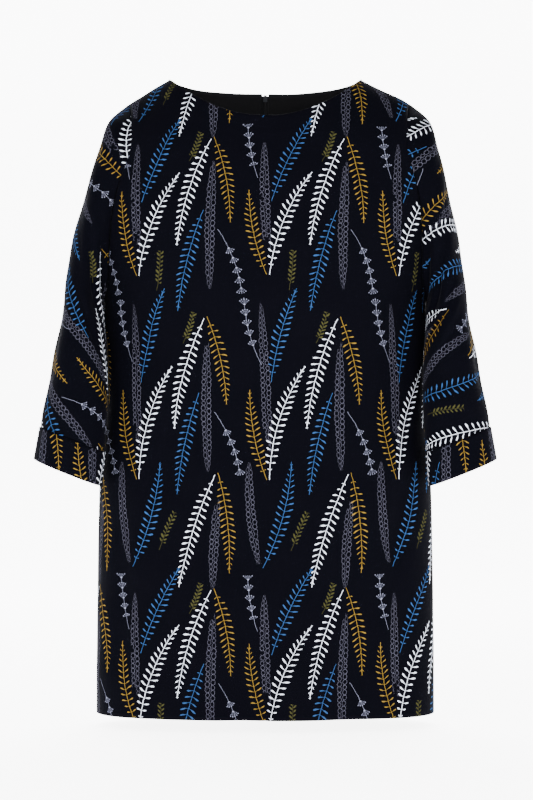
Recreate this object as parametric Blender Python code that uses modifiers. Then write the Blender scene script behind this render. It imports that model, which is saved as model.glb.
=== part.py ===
"""A loose shift dress with a wide boat neck, three-quarter sleeves with cuffs and a short back zip.

It has the hollow form that it takes when it is worn, with nobody in it. The origin is midway between
the two neck points, where the shoulders carry it. +Z is up and the front faces -Y, so the wearer's
left is at +X. Every cloth piece is an open sheet on the garment's form, thickened inwards.
"""

import math

import bmesh
import bpy
import numpy as np
from mathutils import Matrix

# Driving dimensions, in metres.
DRESS_LENGTH = 0.934
UNDERARM_LEVEL = -0.3255
NECK_HALF_WIDTH = 0.1425
SHOULDER_TIP = 0.207
SHOULDER_TIP_LEVEL = -0.035
CLOTH_WALL = 0.0015
CUFF_WALL = 0.0030
CUFF_STEP = 0.0015
SEAM_GAP = 0.0003
ZIP_LENGTH = 0.220

# The shoulders and upper sleeves stand a little to the wearer's left.
LEAN = 0.0062
LEAN_START = 0.000
LEAN_DEEPEST = -0.036
LEAN_END = -0.290
LEAN_INSIDE = 0.110
LEAN_OUTSIDE = 0.190

# How many faces each sheet is divided into.
PANEL_COLUMNS = 12
NECK_COLUMNS = 8
PANEL_LOW_ROWS = 15
PANEL_HIGH_ROWS = 12
SLEEVE_COLUMNS = 24
SLEEVE_ROWS = 17
CUFF_ROWS = 2
FACING_ROWS = 2
ZIP_ROWS = 8

# The body's level sections, from hem to shoulder. Above the underarm they run on into the sleeves.
BODY_COLUMNS = ("level", "half_width", "front", "back", "squareness")
BODY_ROWS = (
    (-DRESS_LENGTH, 0.2495, 0.1040, 0.0970, 2.35),
    (-0.8600, 0.2492, 0.1045, 0.0978, 2.35),
    (-0.7430, 0.2478, 0.1060, 0.0992, 2.38),
    (-0.6400, 0.2462, 0.1068, 0.0995, 2.40),
    (-0.5900, 0.2445, 0.1066, 0.0970, 2.40),
    (-0.5200, 0.2395, 0.1060, 0.0900, 2.40),
    (-0.4400, 0.2365, 0.1070, 0.0845, 2.40),
    (-0.3800, 0.2358, 0.1095, 0.0860, 2.40),
    (UNDERARM_LEVEL, 0.2365, 0.1125, 0.0915, 2.40),
    (-0.2600, 0.2460, 0.1120, 0.0970, 2.40),
    (-0.2000, 0.2570, 0.1095, 0.0985, 2.40),
    (-0.1400, 0.2650, 0.1070, 0.0975, 2.40),
    (0.0500, 0.2660, 0.1060, 0.0960, 2.40),
)

# The shoulder line, seen from the front. Inside the neck it is the ridge that the neckline cuts away.
SHOULDER_COLUMNS = ("across", "height")
SHOULDER_ROWS = (
    (0.0000, 0.0400),
    (0.0700, 0.0303),
    (NECK_HALF_WIDTH, 0.0000),
    (0.1630, -0.0108),
    (0.1850, -0.0226),
    (SHOULDER_TIP, SHOULDER_TIP_LEVEL),
    (0.2285, -0.0505),
    (0.2420, -0.0730),
)

# What differs between the front and the back of the body.
SIDE_COLUMNS = ("facing", "chest_level", "neck_drop", "neck_power")
SIDES = {
    "front": (-1.0, -0.245, 0.0623, 2.1),
    "back": (1.0, -0.210, 0.0132, 3.2),
}
ARCH_POWER = 2.2

# The armhole seams from the underarm to the shoulder tip, seen from the front.
ARMHOLE_COLUMNS = ("across", "level")
ARMHOLES = {
    "front": (
        (0.2365, UNDERARM_LEVEL),
        (0.2350, -0.3225),
        (0.2315, -0.3070),
        (0.2290, -0.2800),
        (0.2275, -0.2450),
        (0.2235, -0.1950),
        (0.2130, -0.1480),
        (0.2010, -0.1090),
        (0.2015, -0.0700),
        (SHOULDER_TIP, SHOULDER_TIP_LEVEL),
    ),
    "back": (
        (0.2365, UNDERARM_LEVEL),
        (0.2350, -0.3225),
        (0.2320, -0.3060),
        (0.2300, -0.2800),
        (0.2290, -0.2450),
        (0.2260, -0.1950),
        (0.2180, -0.1480),
        (0.2085, -0.1090),
        (0.2055, -0.0700),
        (SHOULDER_TIP, SHOULDER_TIP_LEVEL),
    ),
}

# The sleeve's rings below the armhole: the ring's outer and inner ends as seen from the front, how far it
# stands out to the front and back of its middle, and where that middle lies.
SLEEVE_COLUMN_NAMES = ("outer_x", "outer_z", "inner_x", "inner_z", "front", "back", "middle_y")
SLEEVE_RINGS = (
    (0.2325, -0.0580, 0.2371, -0.3290, 0.0700, 0.0640, 0.0000),
    (0.2494, -0.0980, 0.2378, -0.3340, 0.0720, 0.0655, -0.0020),
    (0.2652, -0.1580, 0.2374, -0.3440, 0.0705, 0.0645, -0.0080),
    (0.2780, -0.2210, 0.2360, -0.3580, 0.0665, 0.0615, -0.0190),
    (0.2894, -0.2840, 0.2341, -0.3790, 0.0610, 0.0560, -0.0340),
    (0.2980, -0.3490, 0.2309, -0.4100, 0.0550, 0.0500, -0.0490),
    (0.3080, -0.4110, 0.2290, -0.4500, 0.0500, 0.0460, -0.0590),
    (0.3174, -0.4640, 0.2300, -0.4970, 0.0465, 0.0440, -0.0650),
    (0.3260, -0.5125, 0.2330, -0.5480, 0.0460, 0.0440, -0.0690),
    (0.3342, -0.5590, 0.2378, -0.5970, 0.0470, 0.0450, -0.0710),
)
CUFF_SEAM_RING = 8
SLEEVE_SQUARENESS = 2.15

# Long soft folds of the body: where each lies across, how far it spreads, the levels where it starts
# and is deepest, the level where it has faded again, and its depth. A negative depth is a ridge.
FOLD_COLUMNS = ("across", "spread", "start", "deepest", "fade", "depth")
FOLDS = {
    "front": (
        (-0.036, 0.034, -0.560, -0.900, -1.200, 0.0060),
        (0.034, 0.036, -0.620, -0.930, -1.200, -0.0030),
        (0.012, 0.030, -0.250, -0.400, -0.560, 0.0030),
        (-0.140, 0.034, -0.440, -0.640, -0.900, 0.0040),
        (0.135, 0.040, -0.520, -0.900, -1.200, 0.0050),
    ),
    "back": (
        (-0.095, 0.038, -0.520, -0.900, -1.200, 0.0060),
        (0.070, 0.036, -0.600, -0.930, -1.200, 0.0050),
        (0.150, 0.036, -0.420, -0.620, -0.900, 0.0040),
        (-0.020, 0.040, -0.560, -0.930, -1.200, -0.0030),
    ),
}

# The folds die out where the form comes nearer than this to the side seams.
FOLD_EDGE = 0.05
FINE_STEPS = 241

# The hollow under the front of the arm, where the sleeve's spare cloth folds in beside the body.
ARM_FOLD_TURN = math.radians(122)
ARM_FOLD_SPREAD = math.radians(17)
ARM_FOLD_START = 0.10
ARM_FOLD_DEEPEST = 0.24
ARM_FOLD_END = 0.40
ARM_FOLD_DEPTH = 0.0075

# The neck facing inside the back, and the slit that the zip closes.
FACING_SHOULDER_COLUMNS = 2
FACING_WALL = 0.0010
FACING_EDGE = 0.0052
ZIP_EDGE = 0.0004
NOTCH_HALF_WIDTH = 0.0052
NOTCH_DEPTH = 0.020
TAPE_WALL = 0.0008
TAPE_WIDTH = 0.0125
TAPE_MARGIN = 0.002
COIL_HALF_WIDTH = 0.0015
COIL_THICKNESS = 0.0016
ZIP_TOP_DROP = 0.003
SLIDER_DROP = 0.0062

# The slider and its pull tab.
PLATE_THICKNESS = 0.0008
PLATE_LENGTH = 0.0090
OUTER_PLATE_WIDTH = 0.0044
INNER_PLATE_WIDTH = 0.0064
PLATE_CLEARANCE = 0.0004
PLATE_ROUNDING = 0.0006
POST_WIDTH = 0.0014
POST_LENGTH = 0.0024
LUG_INSIDE = 0.0011
LUG_WIDTH = 0.0008
PIN_HEIGHT = 0.0030
PIN_RADIUS = 0.0005
KNUCKLE_RADIUS = 0.00145
KNUCKLE_BORE = 0.00085
KNUCKLE_WIDTH = 0.0016
PULL_LENGTH = 0.021
PULL_WIDTH = 0.0052
PULL_THICKNESS = 0.0009
PULL_TILT = math.radians(5.5)
ROUND_STEPS = 16
SLEEVE_GAP = 0.0004
EDGE_ANGLE = math.radians(40)

CLOTH_BLACK = (0.006, 0.007, 0.014, 1.0)
FACING_BLACK = (0.008, 0.008, 0.011, 1.0)
TAPE_BLACK = (0.010, 0.010, 0.013, 1.0)
GUNMETAL = (0.25, 0.25, 0.26, 1.0)


def read(names, rows, column, at):
    """Values of a named column, along a smooth curve through the rows. The first column is the scale."""
    rows = np.asarray(rows, float)
    knots = rows[:, 0]
    values = rows[:, names.index(column)]
    slopes = np.gradient(values, knots)
    at = np.clip(np.asarray(at, float), knots[0], knots[-1])
    i = np.clip(np.searchsorted(knots, at, side="right") - 1, 0, len(knots) - 2)
    span = knots[i + 1] - knots[i]
    t = (at - knots[i]) / span
    rise = values[i + 1] - values[i]
    bend = (slopes[i] * span - rise) * (1 - t) + (rise - slopes[i + 1] * span) * t
    return values[i] + rise * t + t * (1 - t) * bend


def side_value(side, column):
    return SIDES[side][SIDE_COLUMNS.index(column)]


def body(column, level):
    return read(BODY_COLUMNS, BODY_ROWS, column, level)


def shoulder_height(across):
    return read(SHOULDER_COLUMNS, SHOULDER_ROWS, "height", across)


def smooth_step(x):
    x = np.clip(x, 0, 1)
    return x * x * (3 - 2 * x)


def rise_and_fade(at, start, peak, end):
    """A share that grows from 0 at the start to 1 at the peak and is 0 again at the end."""
    return smooth_step((at - start) / (peak - start)) * (1 - smooth_step((at - peak) / (end - peak)))


def unit(vectors):
    return vectors / np.linalg.norm(vectors, axis=-1, keepdims=True)


def fold_depth(side, across, level):
    """How deep the body's long folds lie at a place. Here across is negative on the wearer's right."""
    total = np.zeros(np.broadcast(across, level).shape)
    for row in FOLDS[side]:
        fold = dict(zip(FOLD_COLUMNS, row))
        share = rise_and_fade(level, fold["start"], fold["deepest"], fold["fade"])
        total = total + fold["depth"] * share * np.exp(-(((across - fold["across"]) / fold["spread"]) ** 2))
    return total


def form_point(side, hand, across, level):
    """The point of the garment's form at a place seen from the front: a level section, arched over
    the shoulder above the chest, with the long folds pressed in. hand is 1 on the wearer's left and -1
    on the right, where across still counts up from the centre and the piece is mirrored afterwards."""
    across = np.asarray(across, float)
    level = np.asarray(level, float) + 0 * across
    squareness = body("squareness", level)
    inset = np.clip(1 - (across / body("half_width", level)) ** squareness, 0, 1)
    chest = side_value(side, "chest_level")
    climb = np.clip((level - chest) / (shoulder_height(across) - chest), 0, 1)
    depth = body(side, level) * inset ** (1 / squareness) * np.sqrt(1 - climb**ARCH_POWER)
    depth = depth - fold_depth(side, hand * across, level) * np.minimum(depth / FOLD_EDGE, 1)
    facing = side_value(side, "facing")
    return np.stack([across, facing * np.maximum(depth, SEAM_GAP / 2), level], axis=-1)


def lean(points):
    """The same points of a placed piece, moved aside where the shoulders stand off centre."""
    level = points[..., 2]
    share = smooth_step((LEAN_START - level) / (LEAN_START - LEAN_DEEPEST))
    share = share * (1 - smooth_step((LEAN_DEEPEST - level) / (LEAN_DEEPEST - LEAN_END)))
    share = share * smooth_step((np.abs(points[..., 0]) - LEAN_INSIDE) / (LEAN_OUTSIDE - LEAN_INSIDE))
    return points + LEAN * share[..., None] * np.array((1, 0, 0))


def along(points, count):
    """Points spaced evenly along a curve given by many points."""
    run = np.concatenate([[0], np.cumsum(np.linalg.norm(np.diff(points, axis=0), axis=1))])
    wanted = np.linspace(0, run[-1], count + 1)
    return np.stack([np.interp(wanted, run, points[:, k]) for k in range(3)], axis=-1)


def smooth_curve(points, count):
    """A smooth curve through a few points, as many evenly spaced ones."""
    run = np.concatenate([[0], np.cumsum(np.linalg.norm(np.diff(points, axis=0), axis=1))])
    table = np.column_stack([run, points])
    names = ("run", "x", "y", "z")
    fine = np.linspace(0, run[-1], FINE_STEPS)
    return along(np.stack([read(names, table, axis, fine) for axis in names[1:]], axis=-1), count)


def armhole(side, hand, count):
    """The armhole seam of one side, from the underarm to the shoulder tip."""
    rows = np.array(ARMHOLES[side])
    points = form_point(side, hand, rows[:, 0], rows[:, 1])
    points[[0, -1], 1] = side_value(side, "facing") * SEAM_GAP / 2
    return smooth_curve(points, count)


def neck_level(side, across):
    share = np.minimum(across / NECK_HALF_WIDTH, 1)
    return -side_value(side, "neck_drop") * (1 - share ** side_value(side, "neck_power"))


def centre_edge(side, level):
    """Where a panel starts at the centre line. The back is slit for the zip, with a notch at the neck."""
    if side == "front":
        return 0 * level
    top = neck_level("back", 0)
    notch = smooth_step(1 - (top - level) / NOTCH_DEPTH)
    on_zip = smooth_step((level - top + ZIP_LENGTH) / NOTCH_DEPTH)
    return SEAM_GAP / 2 + (ZIP_EDGE - SEAM_GAP / 2) * on_zip + NOTCH_HALF_WIDTH * notch


def section(side, hand, level, columns):
    """One level section from the centre line to the side seam, evenly spaced."""
    turn = np.linspace(0, math.pi / 2, FINE_STEPS)
    share = np.sin(turn) ** (2 / body("squareness", level))
    start = centre_edge(side, level)
    across = start + (body("half_width", level) - start) * share
    return along(form_point(side, hand, across, level), columns)


def top_edge(side, hand, columns, neck_columns):
    """The neckline from the centre to the neck point, and then the shoulder seam to the armhole."""
    start = centre_edge(side, neck_level(side, 0))
    across = start + (NECK_HALF_WIDTH - start) * np.sin(np.linspace(0, math.pi / 2, FINE_STEPS))
    neck = along(form_point(side, hand, across, neck_level(side, across)), neck_columns)
    across = np.linspace(NECK_HALF_WIDTH, SHOULDER_TIP, columns - neck_columns + 1)[1:]
    return np.concatenate([neck, form_point(side, hand, across, shoulder_height(across))])


def half_panel(side, hand):
    """Half a body panel, rows from the hem up and columns from the centre to the side."""
    low_levels = np.linspace(-DRESS_LENGTH, UNDERARM_LEVEL, PANEL_LOW_ROWS + 1)
    rows = [section(side, hand, level, PANEL_COLUMNS) for level in low_levels]
    bottom = rows[-1]
    top = top_edge(side, hand, PANEL_COLUMNS, NECK_COLUMNS)
    outer = armhole(side, hand, PANEL_HIGH_ROWS)
    levels = np.linspace(UNDERARM_LEVEL, neck_level(side, 0), PANEL_HIGH_ROWS + 1)
    inner = form_point(side, hand, centre_edge(side, levels), levels)
    u = np.linspace(0, 1, PANEL_COLUMNS + 1)[:, None]
    for row in range(1, PANEL_HIGH_ROWS):
        v = row / PANEL_HIGH_ROWS
        flat = (1 - v) * bottom + v * top + (1 - u) * inner[row] + u * outer[row]
        flat -= (1 - u) * ((1 - v) * bottom[0] + v * top[0]) + u * ((1 - v) * bottom[-1] + v * top[-1])
        points = form_point(side, hand, flat[:, 0], flat[:, 2])
        points[-1] = outer[row]
        rows.append(points)
    rows.append(top)
    return lean(np.array(rows) * (hand, 1, 1))


def armhole_ring(hand, count):
    """The whole armhole seam as a ring, from the shoulder tip round by the front."""
    front = armhole("front", hand, count // 2)[::-1]
    back = armhole("back", hand, count // 2)
    ring = np.concatenate([front, back[1:-1]])
    ring[[0, count // 2], 1] = 0
    return ring


def sleeve_ring(row, count):
    """A closed ring of the sleeve, from its outer end round by the front."""
    value = dict(zip(SLEEVE_COLUMN_NAMES, row))
    outer = np.array([value["outer_x"], 0, value["outer_z"]])
    inner = np.array([value["inner_x"], 0, value["inner_z"]])
    turn = 2 * math.pi * np.arange(count) / count
    power = 2 / SLEEVE_SQUARENESS
    lengthwise = np.sign(np.cos(turn)) * np.abs(np.cos(turn)) ** power
    depth = np.where(np.sin(turn) > 0, -value["front"], value["back"]) * np.abs(np.sin(turn)) ** power
    points = (outer + inner) / 2 + lengthwise[:, None] * (outer - inner) / 2
    points[:, 1] += value["middle_y"] + depth
    return points


def sleeve_rings(hand, count):
    """The sleeve's rings from the armhole down, and how far each lies down the sleeve's outer line."""
    rings = np.array([armhole_ring(hand, count)] + [sleeve_ring(row, count) for row in SLEEVE_RINGS])
    steps = np.linalg.norm(np.diff(rings[:, 0], axis=0), axis=1)
    return rings, np.concatenate([[0], np.cumsum(steps)])


def tube(hand, places):
    """Points of the sleeve at some places down its outer line, as rings that don't repeat a point."""
    rings, run = sleeve_rings(hand, SLEEVE_COLUMNS)
    table = np.column_stack([run, rings.reshape(len(run), -1)])
    names = list(range(table.shape[1]))
    points = np.stack([read(names, table, column, places) for column in names[1:]], axis=-1)
    points = points.reshape(len(places), SLEEVE_COLUMNS, 3)
    turn = 2 * math.pi * np.arange(SLEEVE_COLUMNS) / SLEEVE_COLUMNS
    depth = ARM_FOLD_DEPTH * rise_and_fade(places, ARM_FOLD_START, ARM_FOLD_DEEPEST, ARM_FOLD_END)
    depth = depth[:, None] * np.exp(-(((turn - ARM_FOLD_TURN) / ARM_FOLD_SPREAD) ** 2))
    return points + depth[:, :, None] * unit(points.mean(axis=1, keepdims=True) - points)


def outward(points, closed=False):
    """Unit normals of a grid of points whose rows run up and columns to the right, from outside. Where
    a piece ends at a side or shoulder seam they lie in the seam's plane, so its edge is square to it."""
    if closed:
        right = np.roll(points, -1, axis=1) - np.roll(points, 1, axis=1)
    else:
        right = np.gradient(points, axis=1)
    normals = np.cross(right, np.gradient(points, axis=0))
    if not closed:
        normals[..., 1] = np.where(np.abs(points[..., 1]) <= SEAM_GAP, 0, normals[..., 1])
    return unit(normals)


def clear_scene():
    for thing in list(bpy.data.objects):
        bpy.data.objects.remove(thing, do_unlink=True)


def make_collection(name):
    collection = bpy.data.collections.new(name)
    bpy.context.scene.collection.children.link(collection)
    return collection


def make_material(name, colour, roughness, metallic=0.0):
    material = bpy.data.materials.new(name)
    material.use_nodes = True
    shader = material.node_tree.nodes["Principled BSDF"]
    shader.inputs["Base Color"].default_value = colour
    shader.inputs["Roughness"].default_value = roughness
    shader.inputs["Metallic"].default_value = metallic
    material.diffuse_color = colour
    return material


def add_object(name, mesh, material, collection):
    thing = bpy.data.objects.new(name, mesh)
    collection.objects.link(thing)
    mesh.materials.append(material)
    return thing


def wall_mesh(name, points, wall, closed):
    """A cloth wall: the outer sheet, which is a grid of points whose rows run up and columns to the
    right from outside, the inner sheet behind it, and the edges that join them."""
    rows, columns = points.shape[:2]
    spans = columns if closed else columns - 1
    shape = bmesh.new()
    sheets = (points, points - wall * outward(points, closed))
    outer, inner = ([[shape.verts.new(point) for point in row] for row in sheet] for sheet in sheets)
    for c in range(spans):
        n = (c + 1) % columns
        for r in range(rows - 1):
            shape.faces.new((outer[r][c], outer[r][n], outer[r + 1][n], outer[r + 1][c]))
            shape.faces.new((inner[r][c], inner[r + 1][c], inner[r + 1][n], inner[r][n]))
        shape.faces.new((outer[0][n], outer[0][c], inner[0][c], inner[0][n]))
        shape.faces.new((outer[-1][c], outer[-1][n], inner[-1][n], inner[-1][c]))
    for r in range(0 if closed else rows - 1):
        shape.faces.new((outer[r][0], outer[r + 1][0], inner[r + 1][0], inner[r][0]))
        shape.faces.new((outer[r + 1][-1], outer[r][-1], inner[r][-1], inner[r + 1][-1]))
    mesh = bpy.data.meshes.new(name)
    shape.to_mesh(mesh)
    shape.free()
    mesh.shade_smooth()
    mesh.set_sharp_from_angle(angle=EDGE_ANGLE)
    return mesh


def add_cloth(name, points, wall, colour, collection, closed=False):
    material = make_material(name + "_cloth", colour, 0.9)
    add_object(name, wall_mesh(name, points, wall, closed), material, collection)


def add_front(collection):
    right = half_panel("front", -1)[:, :0:-1]
    front = np.concatenate([right, half_panel("front", 1)], axis=1)
    add_cloth("front_panel", front, CLOTH_WALL, CLOTH_BLACK, collection)


def add_back(side, hand, collection):
    """One side of the back, with its half of the neck facing and its zip tape."""
    panel = half_panel("back", hand)
    add_cloth(f"back_panel_{side}", panel[:, ::-hand], CLOTH_WALL, CLOTH_BLACK, collection)
    add_facing(side, hand, panel, collection)
    add_tape(side, hand, panel, collection)
    return panel


def add_sleeve(side, hand, collection):
    """A sleeve and its cuff. The rings run down, and the wearer's right one is a mirror image."""
    run = sleeve_rings(hand, SLEEVE_COLUMNS)[1]
    cuff_seam = run[1 + CUFF_SEAM_RING]
    sleeve = tube(hand, np.linspace(0, cuff_seam - SEAM_GAP, SLEEVE_ROWS + 1))
    sleeve[0] += SLEEVE_GAP * unit(sleeve[1] - sleeve[0])
    cuff = tube(hand, np.linspace(cuff_seam + SEAM_GAP, run[-1], CUFF_ROWS + 1))
    cuff += CUFF_STEP * unit(cuff - cuff.mean(axis=1, keepdims=True))
    for part, points, wall in (("sleeve", sleeve, CLOTH_WALL), ("cuff", cuff, CUFF_WALL)):
        placed = lean(points[::hand] * (hand, 1, 1))
        add_cloth(f"{part}_{side}", placed, wall, CLOTH_BLACK, collection, closed=True)


def behind(panel, hand, rows, columns, depth):
    """Points behind a back panel's outer face, at places counted in its own rows and columns from the
    centre line. Its walls are flat between those, and so is what lies on them."""
    r = np.clip(np.floor(rows).astype(int), 0, panel.shape[0] - 2)
    c = np.clip(np.floor(columns).astype(int), 0, panel.shape[1] - 2)
    v = (rows - r)[..., None]
    u = (columns - c)[..., None]
    inner = panel + hand * outward(panel) * depth.max()
    found = []
    for sheet in (panel, inner):
        low = (1 - u) * sheet[r, c] + u * sheet[r, c + 1]
        high = (1 - u) * sheet[r + 1, c] + u * sheet[r + 1, c + 1]
        found.append((1 - v) * low + v * high)
    share = (depth / depth.max())[..., None]
    return (1 - share) * found[0] + share * found[1]


def column_at(panel, rows, across):
    """Where a distance from the centre line lies, counted in the panel's columns."""
    near = np.abs(panel[rows, 0, 0])
    far = np.abs(panel[rows, 1, 0])
    return (across - near) / (far - near)


def add_facing(side, hand, panel, collection):
    """Half the neck facing, from the zip to the shoulder seam. It lies on the cloth, and on the zip
    tape beside the zip."""
    top = panel.shape[0] - 1
    rows = np.arange(top - FACING_ROWS, top + 1)
    beside = [column_at(panel, rows, across) for across in (FACING_EDGE, TAPE_WIDTH + TAPE_MARGIN)]
    rest = [column + 0 * beside[0] for column in range(1, NECK_COLUMNS + FACING_SHOULDER_COLUMNS + 1)]
    columns = np.stack(beside + rest, axis=1)
    on_cloth = CLOTH_WALL + SEAM_GAP
    depth = np.full(columns.shape, on_cloth)
    depth[:, :2] += TAPE_WALL + SEAM_GAP
    points = behind(panel, hand, rows[:, None] + 0 * columns, columns, depth)
    points[:, -1, 1] = np.maximum(points[:, -1, 1], SEAM_GAP / 2)
    add_cloth(f"neck_facing_{side}", points[:, ::-hand], FACING_WALL, FACING_BLACK, collection)


def zip_rows(panel):
    """The rows that the zip runs over, ending a little below the neck edge."""
    top = panel.shape[0] - 1
    step = np.linalg.norm(panel[top, 0] - panel[top - 1, 0])
    return np.append(np.arange(top - ZIP_ROWS, top, dtype=float), top - ZIP_TOP_DROP / step)


def add_tape(side, hand, panel, collection):
    """One side's zip tape, inside the back beside the coil."""
    rows = zip_rows(panel)
    whole = np.round(rows).astype(int)
    edges = (COIL_HALF_WIDTH + SEAM_GAP, TAPE_WIDTH)
    columns = np.stack([column_at(panel, whole, across) for across in edges], axis=1)
    depth = np.full(columns.shape, CLOTH_WALL + SEAM_GAP)
    points = behind(panel, hand, rows[:, None] + 0 * columns, columns, depth)
    points[:, 0, 0] = hand * edges[0]
    points[:, 1, 0] = hand * edges[1]
    add_cloth(f"zip_tape_{side}", points[:, ::-hand], TAPE_WALL, TAPE_BLACK, collection)


def add_coil(panel, frame, collection):
    """The closed coil between the tapes. Its top is under the slider."""
    rows = zip_rows(panel)[:-1]
    spine = panel[rows.astype(int), 0]
    spine = np.concatenate([spine, [frame.translation]])
    points = np.stack([spine, spine], axis=1)
    points[:, 0, 0] = COIL_HALF_WIDTH
    points[:, 1, 0] = -COIL_HALF_WIDTH
    points = points - (CLOTH_WALL + SEAM_GAP) * outward(points)
    add_cloth("zip_coil", points, COIL_THICKNESS, TAPE_BLACK, collection)


def slider_frame(panel):
    """Where the slider sits on the back: X across, Y down the zip and Z out of the cloth."""
    centre = panel[:, 0] * (0, 1, 1)
    down = unit(centre[-2] - centre[-1])
    frame = Matrix.Identity(4)
    frame.col[1] = (*down, 0)
    frame.col[2] = (0, -down[2], down[1], 0)
    frame.translation = centre[-1] + SLIDER_DROP * down
    return frame


def add_box(name, low, high, rounding=0.0):
    """A box between two corners, with its upright edges rounded."""
    low = np.array(low)
    high = np.array(high)
    mesh = bpy.data.meshes.new(name)
    shape = bmesh.new()
    bmesh.ops.create_cube(shape, size=1)
    bmesh.ops.scale(shape, vec=high - low, verts=shape.verts)
    bmesh.ops.translate(shape, vec=(low + high) / 2, verts=shape.verts)
    if rounding:
        upright = [e for e in shape.edges if abs(e.verts[0].co.z - e.verts[1].co.z) > rounding / 2]
        bmesh.ops.bevel(shape, geom=upright, offset=rounding, segments=2, profile=0.5, affect="EDGES")
    shape.to_mesh(mesh)
    shape.free()
    return mesh


def add_rod(name, radius, width, height):
    """A round rod across the zip, at a height over the cloth."""
    mesh = bpy.data.meshes.new(name)
    shape = bmesh.new()
    sizes = dict(segments=ROUND_STEPS, radius1=radius, radius2=radius, depth=width)
    bmesh.ops.create_cone(shape, cap_ends=True, **sizes)
    bmesh.ops.rotate(shape, matrix=Matrix.Rotation(math.pi / 2, 3, "Y"), verts=shape.verts)
    bmesh.ops.translate(shape, vec=(0, 0, height), verts=shape.verts)
    shape.to_mesh(mesh)
    shape.free()
    return mesh


def add_helper(mesh, frame, cutters):
    """A shape that only joins or cuts another one."""
    helper = bpy.data.objects.new(mesh.name, mesh)
    cutters.objects.link(helper)
    helper.matrix_world = frame
    helper.hide_render = True
    helper.display_type = "WIRE"
    return helper


def combine(thing, meshes, operation, frame, cutters):
    for mesh in meshes:
        boolean = thing.modifiers.new(mesh.name, "BOOLEAN")
        boolean.operation = operation
        boolean.object = add_helper(mesh, frame, cutters)


def add_slider(frame, collection, cutters):
    """Two plates, one outside the cloth and one behind the coil, on a post above the coil's end. Two
    lugs on the outer plate hold the pin that the pull tab hangs on."""
    half = PLATE_LENGTH / 2
    outer_low = PLATE_CLEARANCE
    outer_high = outer_low + PLATE_THICKNESS
    inner_high = -(CLOTH_WALL + SEAM_GAP + COIL_THICKNESS + PLATE_CLEARANCE)
    inner_low = inner_high - PLATE_THICKNESS
    post_end = -SLEEVE_GAP
    side = OUTER_PLATE_WIDTH / 2
    plate = add_box("zip_slider", (-side, -half, outer_low), (side, half, outer_high), PLATE_ROUNDING)
    metal = make_material("gunmetal_slider", GUNMETAL, 0.35, 1.0)
    slider = add_object("zip_slider", plate, metal, collection)
    slider.matrix_world = frame
    side = INNER_PLATE_WIDTH / 2
    inner_plate = add_box("inner_plate", (-side, -half, inner_low), (side, half, inner_high), PLATE_ROUNDING)
    post_low = (-POST_WIDTH / 2, post_end - POST_LENGTH, (inner_low + inner_high) / 2)
    post = add_box("post", post_low, (POST_WIDTH / 2, post_end, (outer_low + outer_high) / 2))
    joined = [inner_plate, post]
    for hand in (-1, 1):
        middle = hand * (LUG_INSIDE + LUG_WIDTH / 2)
        low = (middle - LUG_WIDTH / 2, -KNUCKLE_RADIUS, (outer_low + outer_high) / 2)
        high = (middle + LUG_WIDTH / 2, KNUCKLE_RADIUS, PIN_HEIGHT + KNUCKLE_BORE)
        joined.append(add_box("lug", low, high))
    joined.append(add_rod("pin", PIN_RADIUS, 2 * LUG_INSIDE + LUG_WIDTH, PIN_HEIGHT))
    combine(slider, joined, "UNION", frame, cutters)


def pull_outline():
    """A long drop, narrow at the pin and round at its free end, from above."""
    end = PULL_WIDTH / 2
    neck = KNUCKLE_WIDTH / 2
    turn = np.linspace(0, math.pi, ROUND_STEPS // 2 + 1)
    round_end = [(end * math.cos(a), PULL_LENGTH - end + end * math.sin(a), 0) for a in turn]
    return [(neck, 0, 0), *round_end, (-neck, 0, 0)]


def add_pull(frame, collection, cutters):
    """The pull tab, a plate on a knuckle round the slider's pin. It rests against the cloth."""
    frame = frame @ Matrix.Translation((0, 0, PIN_HEIGHT)) @ Matrix.Rotation(-PULL_TILT, 4, "X")
    mesh = bpy.data.meshes.new("zip_pull")
    mesh.from_pydata(pull_outline(), [], [list(range(ROUND_STEPS // 2 + 3))])
    metal = make_material("gunmetal_pull", GUNMETAL, 0.35, 1.0)
    pull = add_object("zip_pull", mesh, metal, collection)
    pull.matrix_world = frame
    plate = pull.modifiers.new("Plate", "SOLIDIFY")
    plate.thickness = PULL_THICKNESS
    plate.offset = 0
    combine(pull, [add_rod("knuckle", KNUCKLE_RADIUS, KNUCKLE_WIDTH, 0)], "UNION", frame, cutters)
    combine(pull, [add_rod("bore", KNUCKLE_BORE, 2 * KNUCKLE_WIDTH, 0)], "DIFFERENCE", frame, cutters)


def main():
    clear_scene()
    collection = make_collection("Shift dress")
    cutters = make_collection("Cutters")
    add_front(collection)
    for side, hand in (("left", 1), ("right", -1)):
        panel = add_back(side, hand, collection)
        add_sleeve(side, hand, collection)
    frame = slider_frame(panel)
    add_coil(panel, frame, collection)
    add_slider(frame, collection, cutters)
    add_pull(frame, collection, cutters)


main()
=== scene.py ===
"""The looks of a loose shift dress: thin cloth shells with creases, a printed leaf pattern that follows
the cut of each piece, the neck facing, the zip, and a plain studio.

The cloth pieces lie on the same form as the solids. The small tables and functions of that form stand
here again, because the print, the creases and the cloth's edges need far more points than the solids.
"""

import math

import bmesh
import bpy
import numpy as np
from mathutils import Matrix, Vector


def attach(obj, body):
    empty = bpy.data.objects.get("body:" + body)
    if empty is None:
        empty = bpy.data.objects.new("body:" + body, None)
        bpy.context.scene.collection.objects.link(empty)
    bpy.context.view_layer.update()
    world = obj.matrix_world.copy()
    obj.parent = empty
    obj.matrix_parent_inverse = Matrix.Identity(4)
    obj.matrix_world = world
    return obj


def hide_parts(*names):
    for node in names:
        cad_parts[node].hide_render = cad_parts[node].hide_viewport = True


bl_info = {
    "name": "Shift dress",
    "version": (1, 0, 0),
    "blender": (4, 5, 0),
    "location": "View3D > Sidebar > Shift dress",
    "description": "Cloth, print, zip and studio for a loose shift dress",
    "category": "Object",
}

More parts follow.
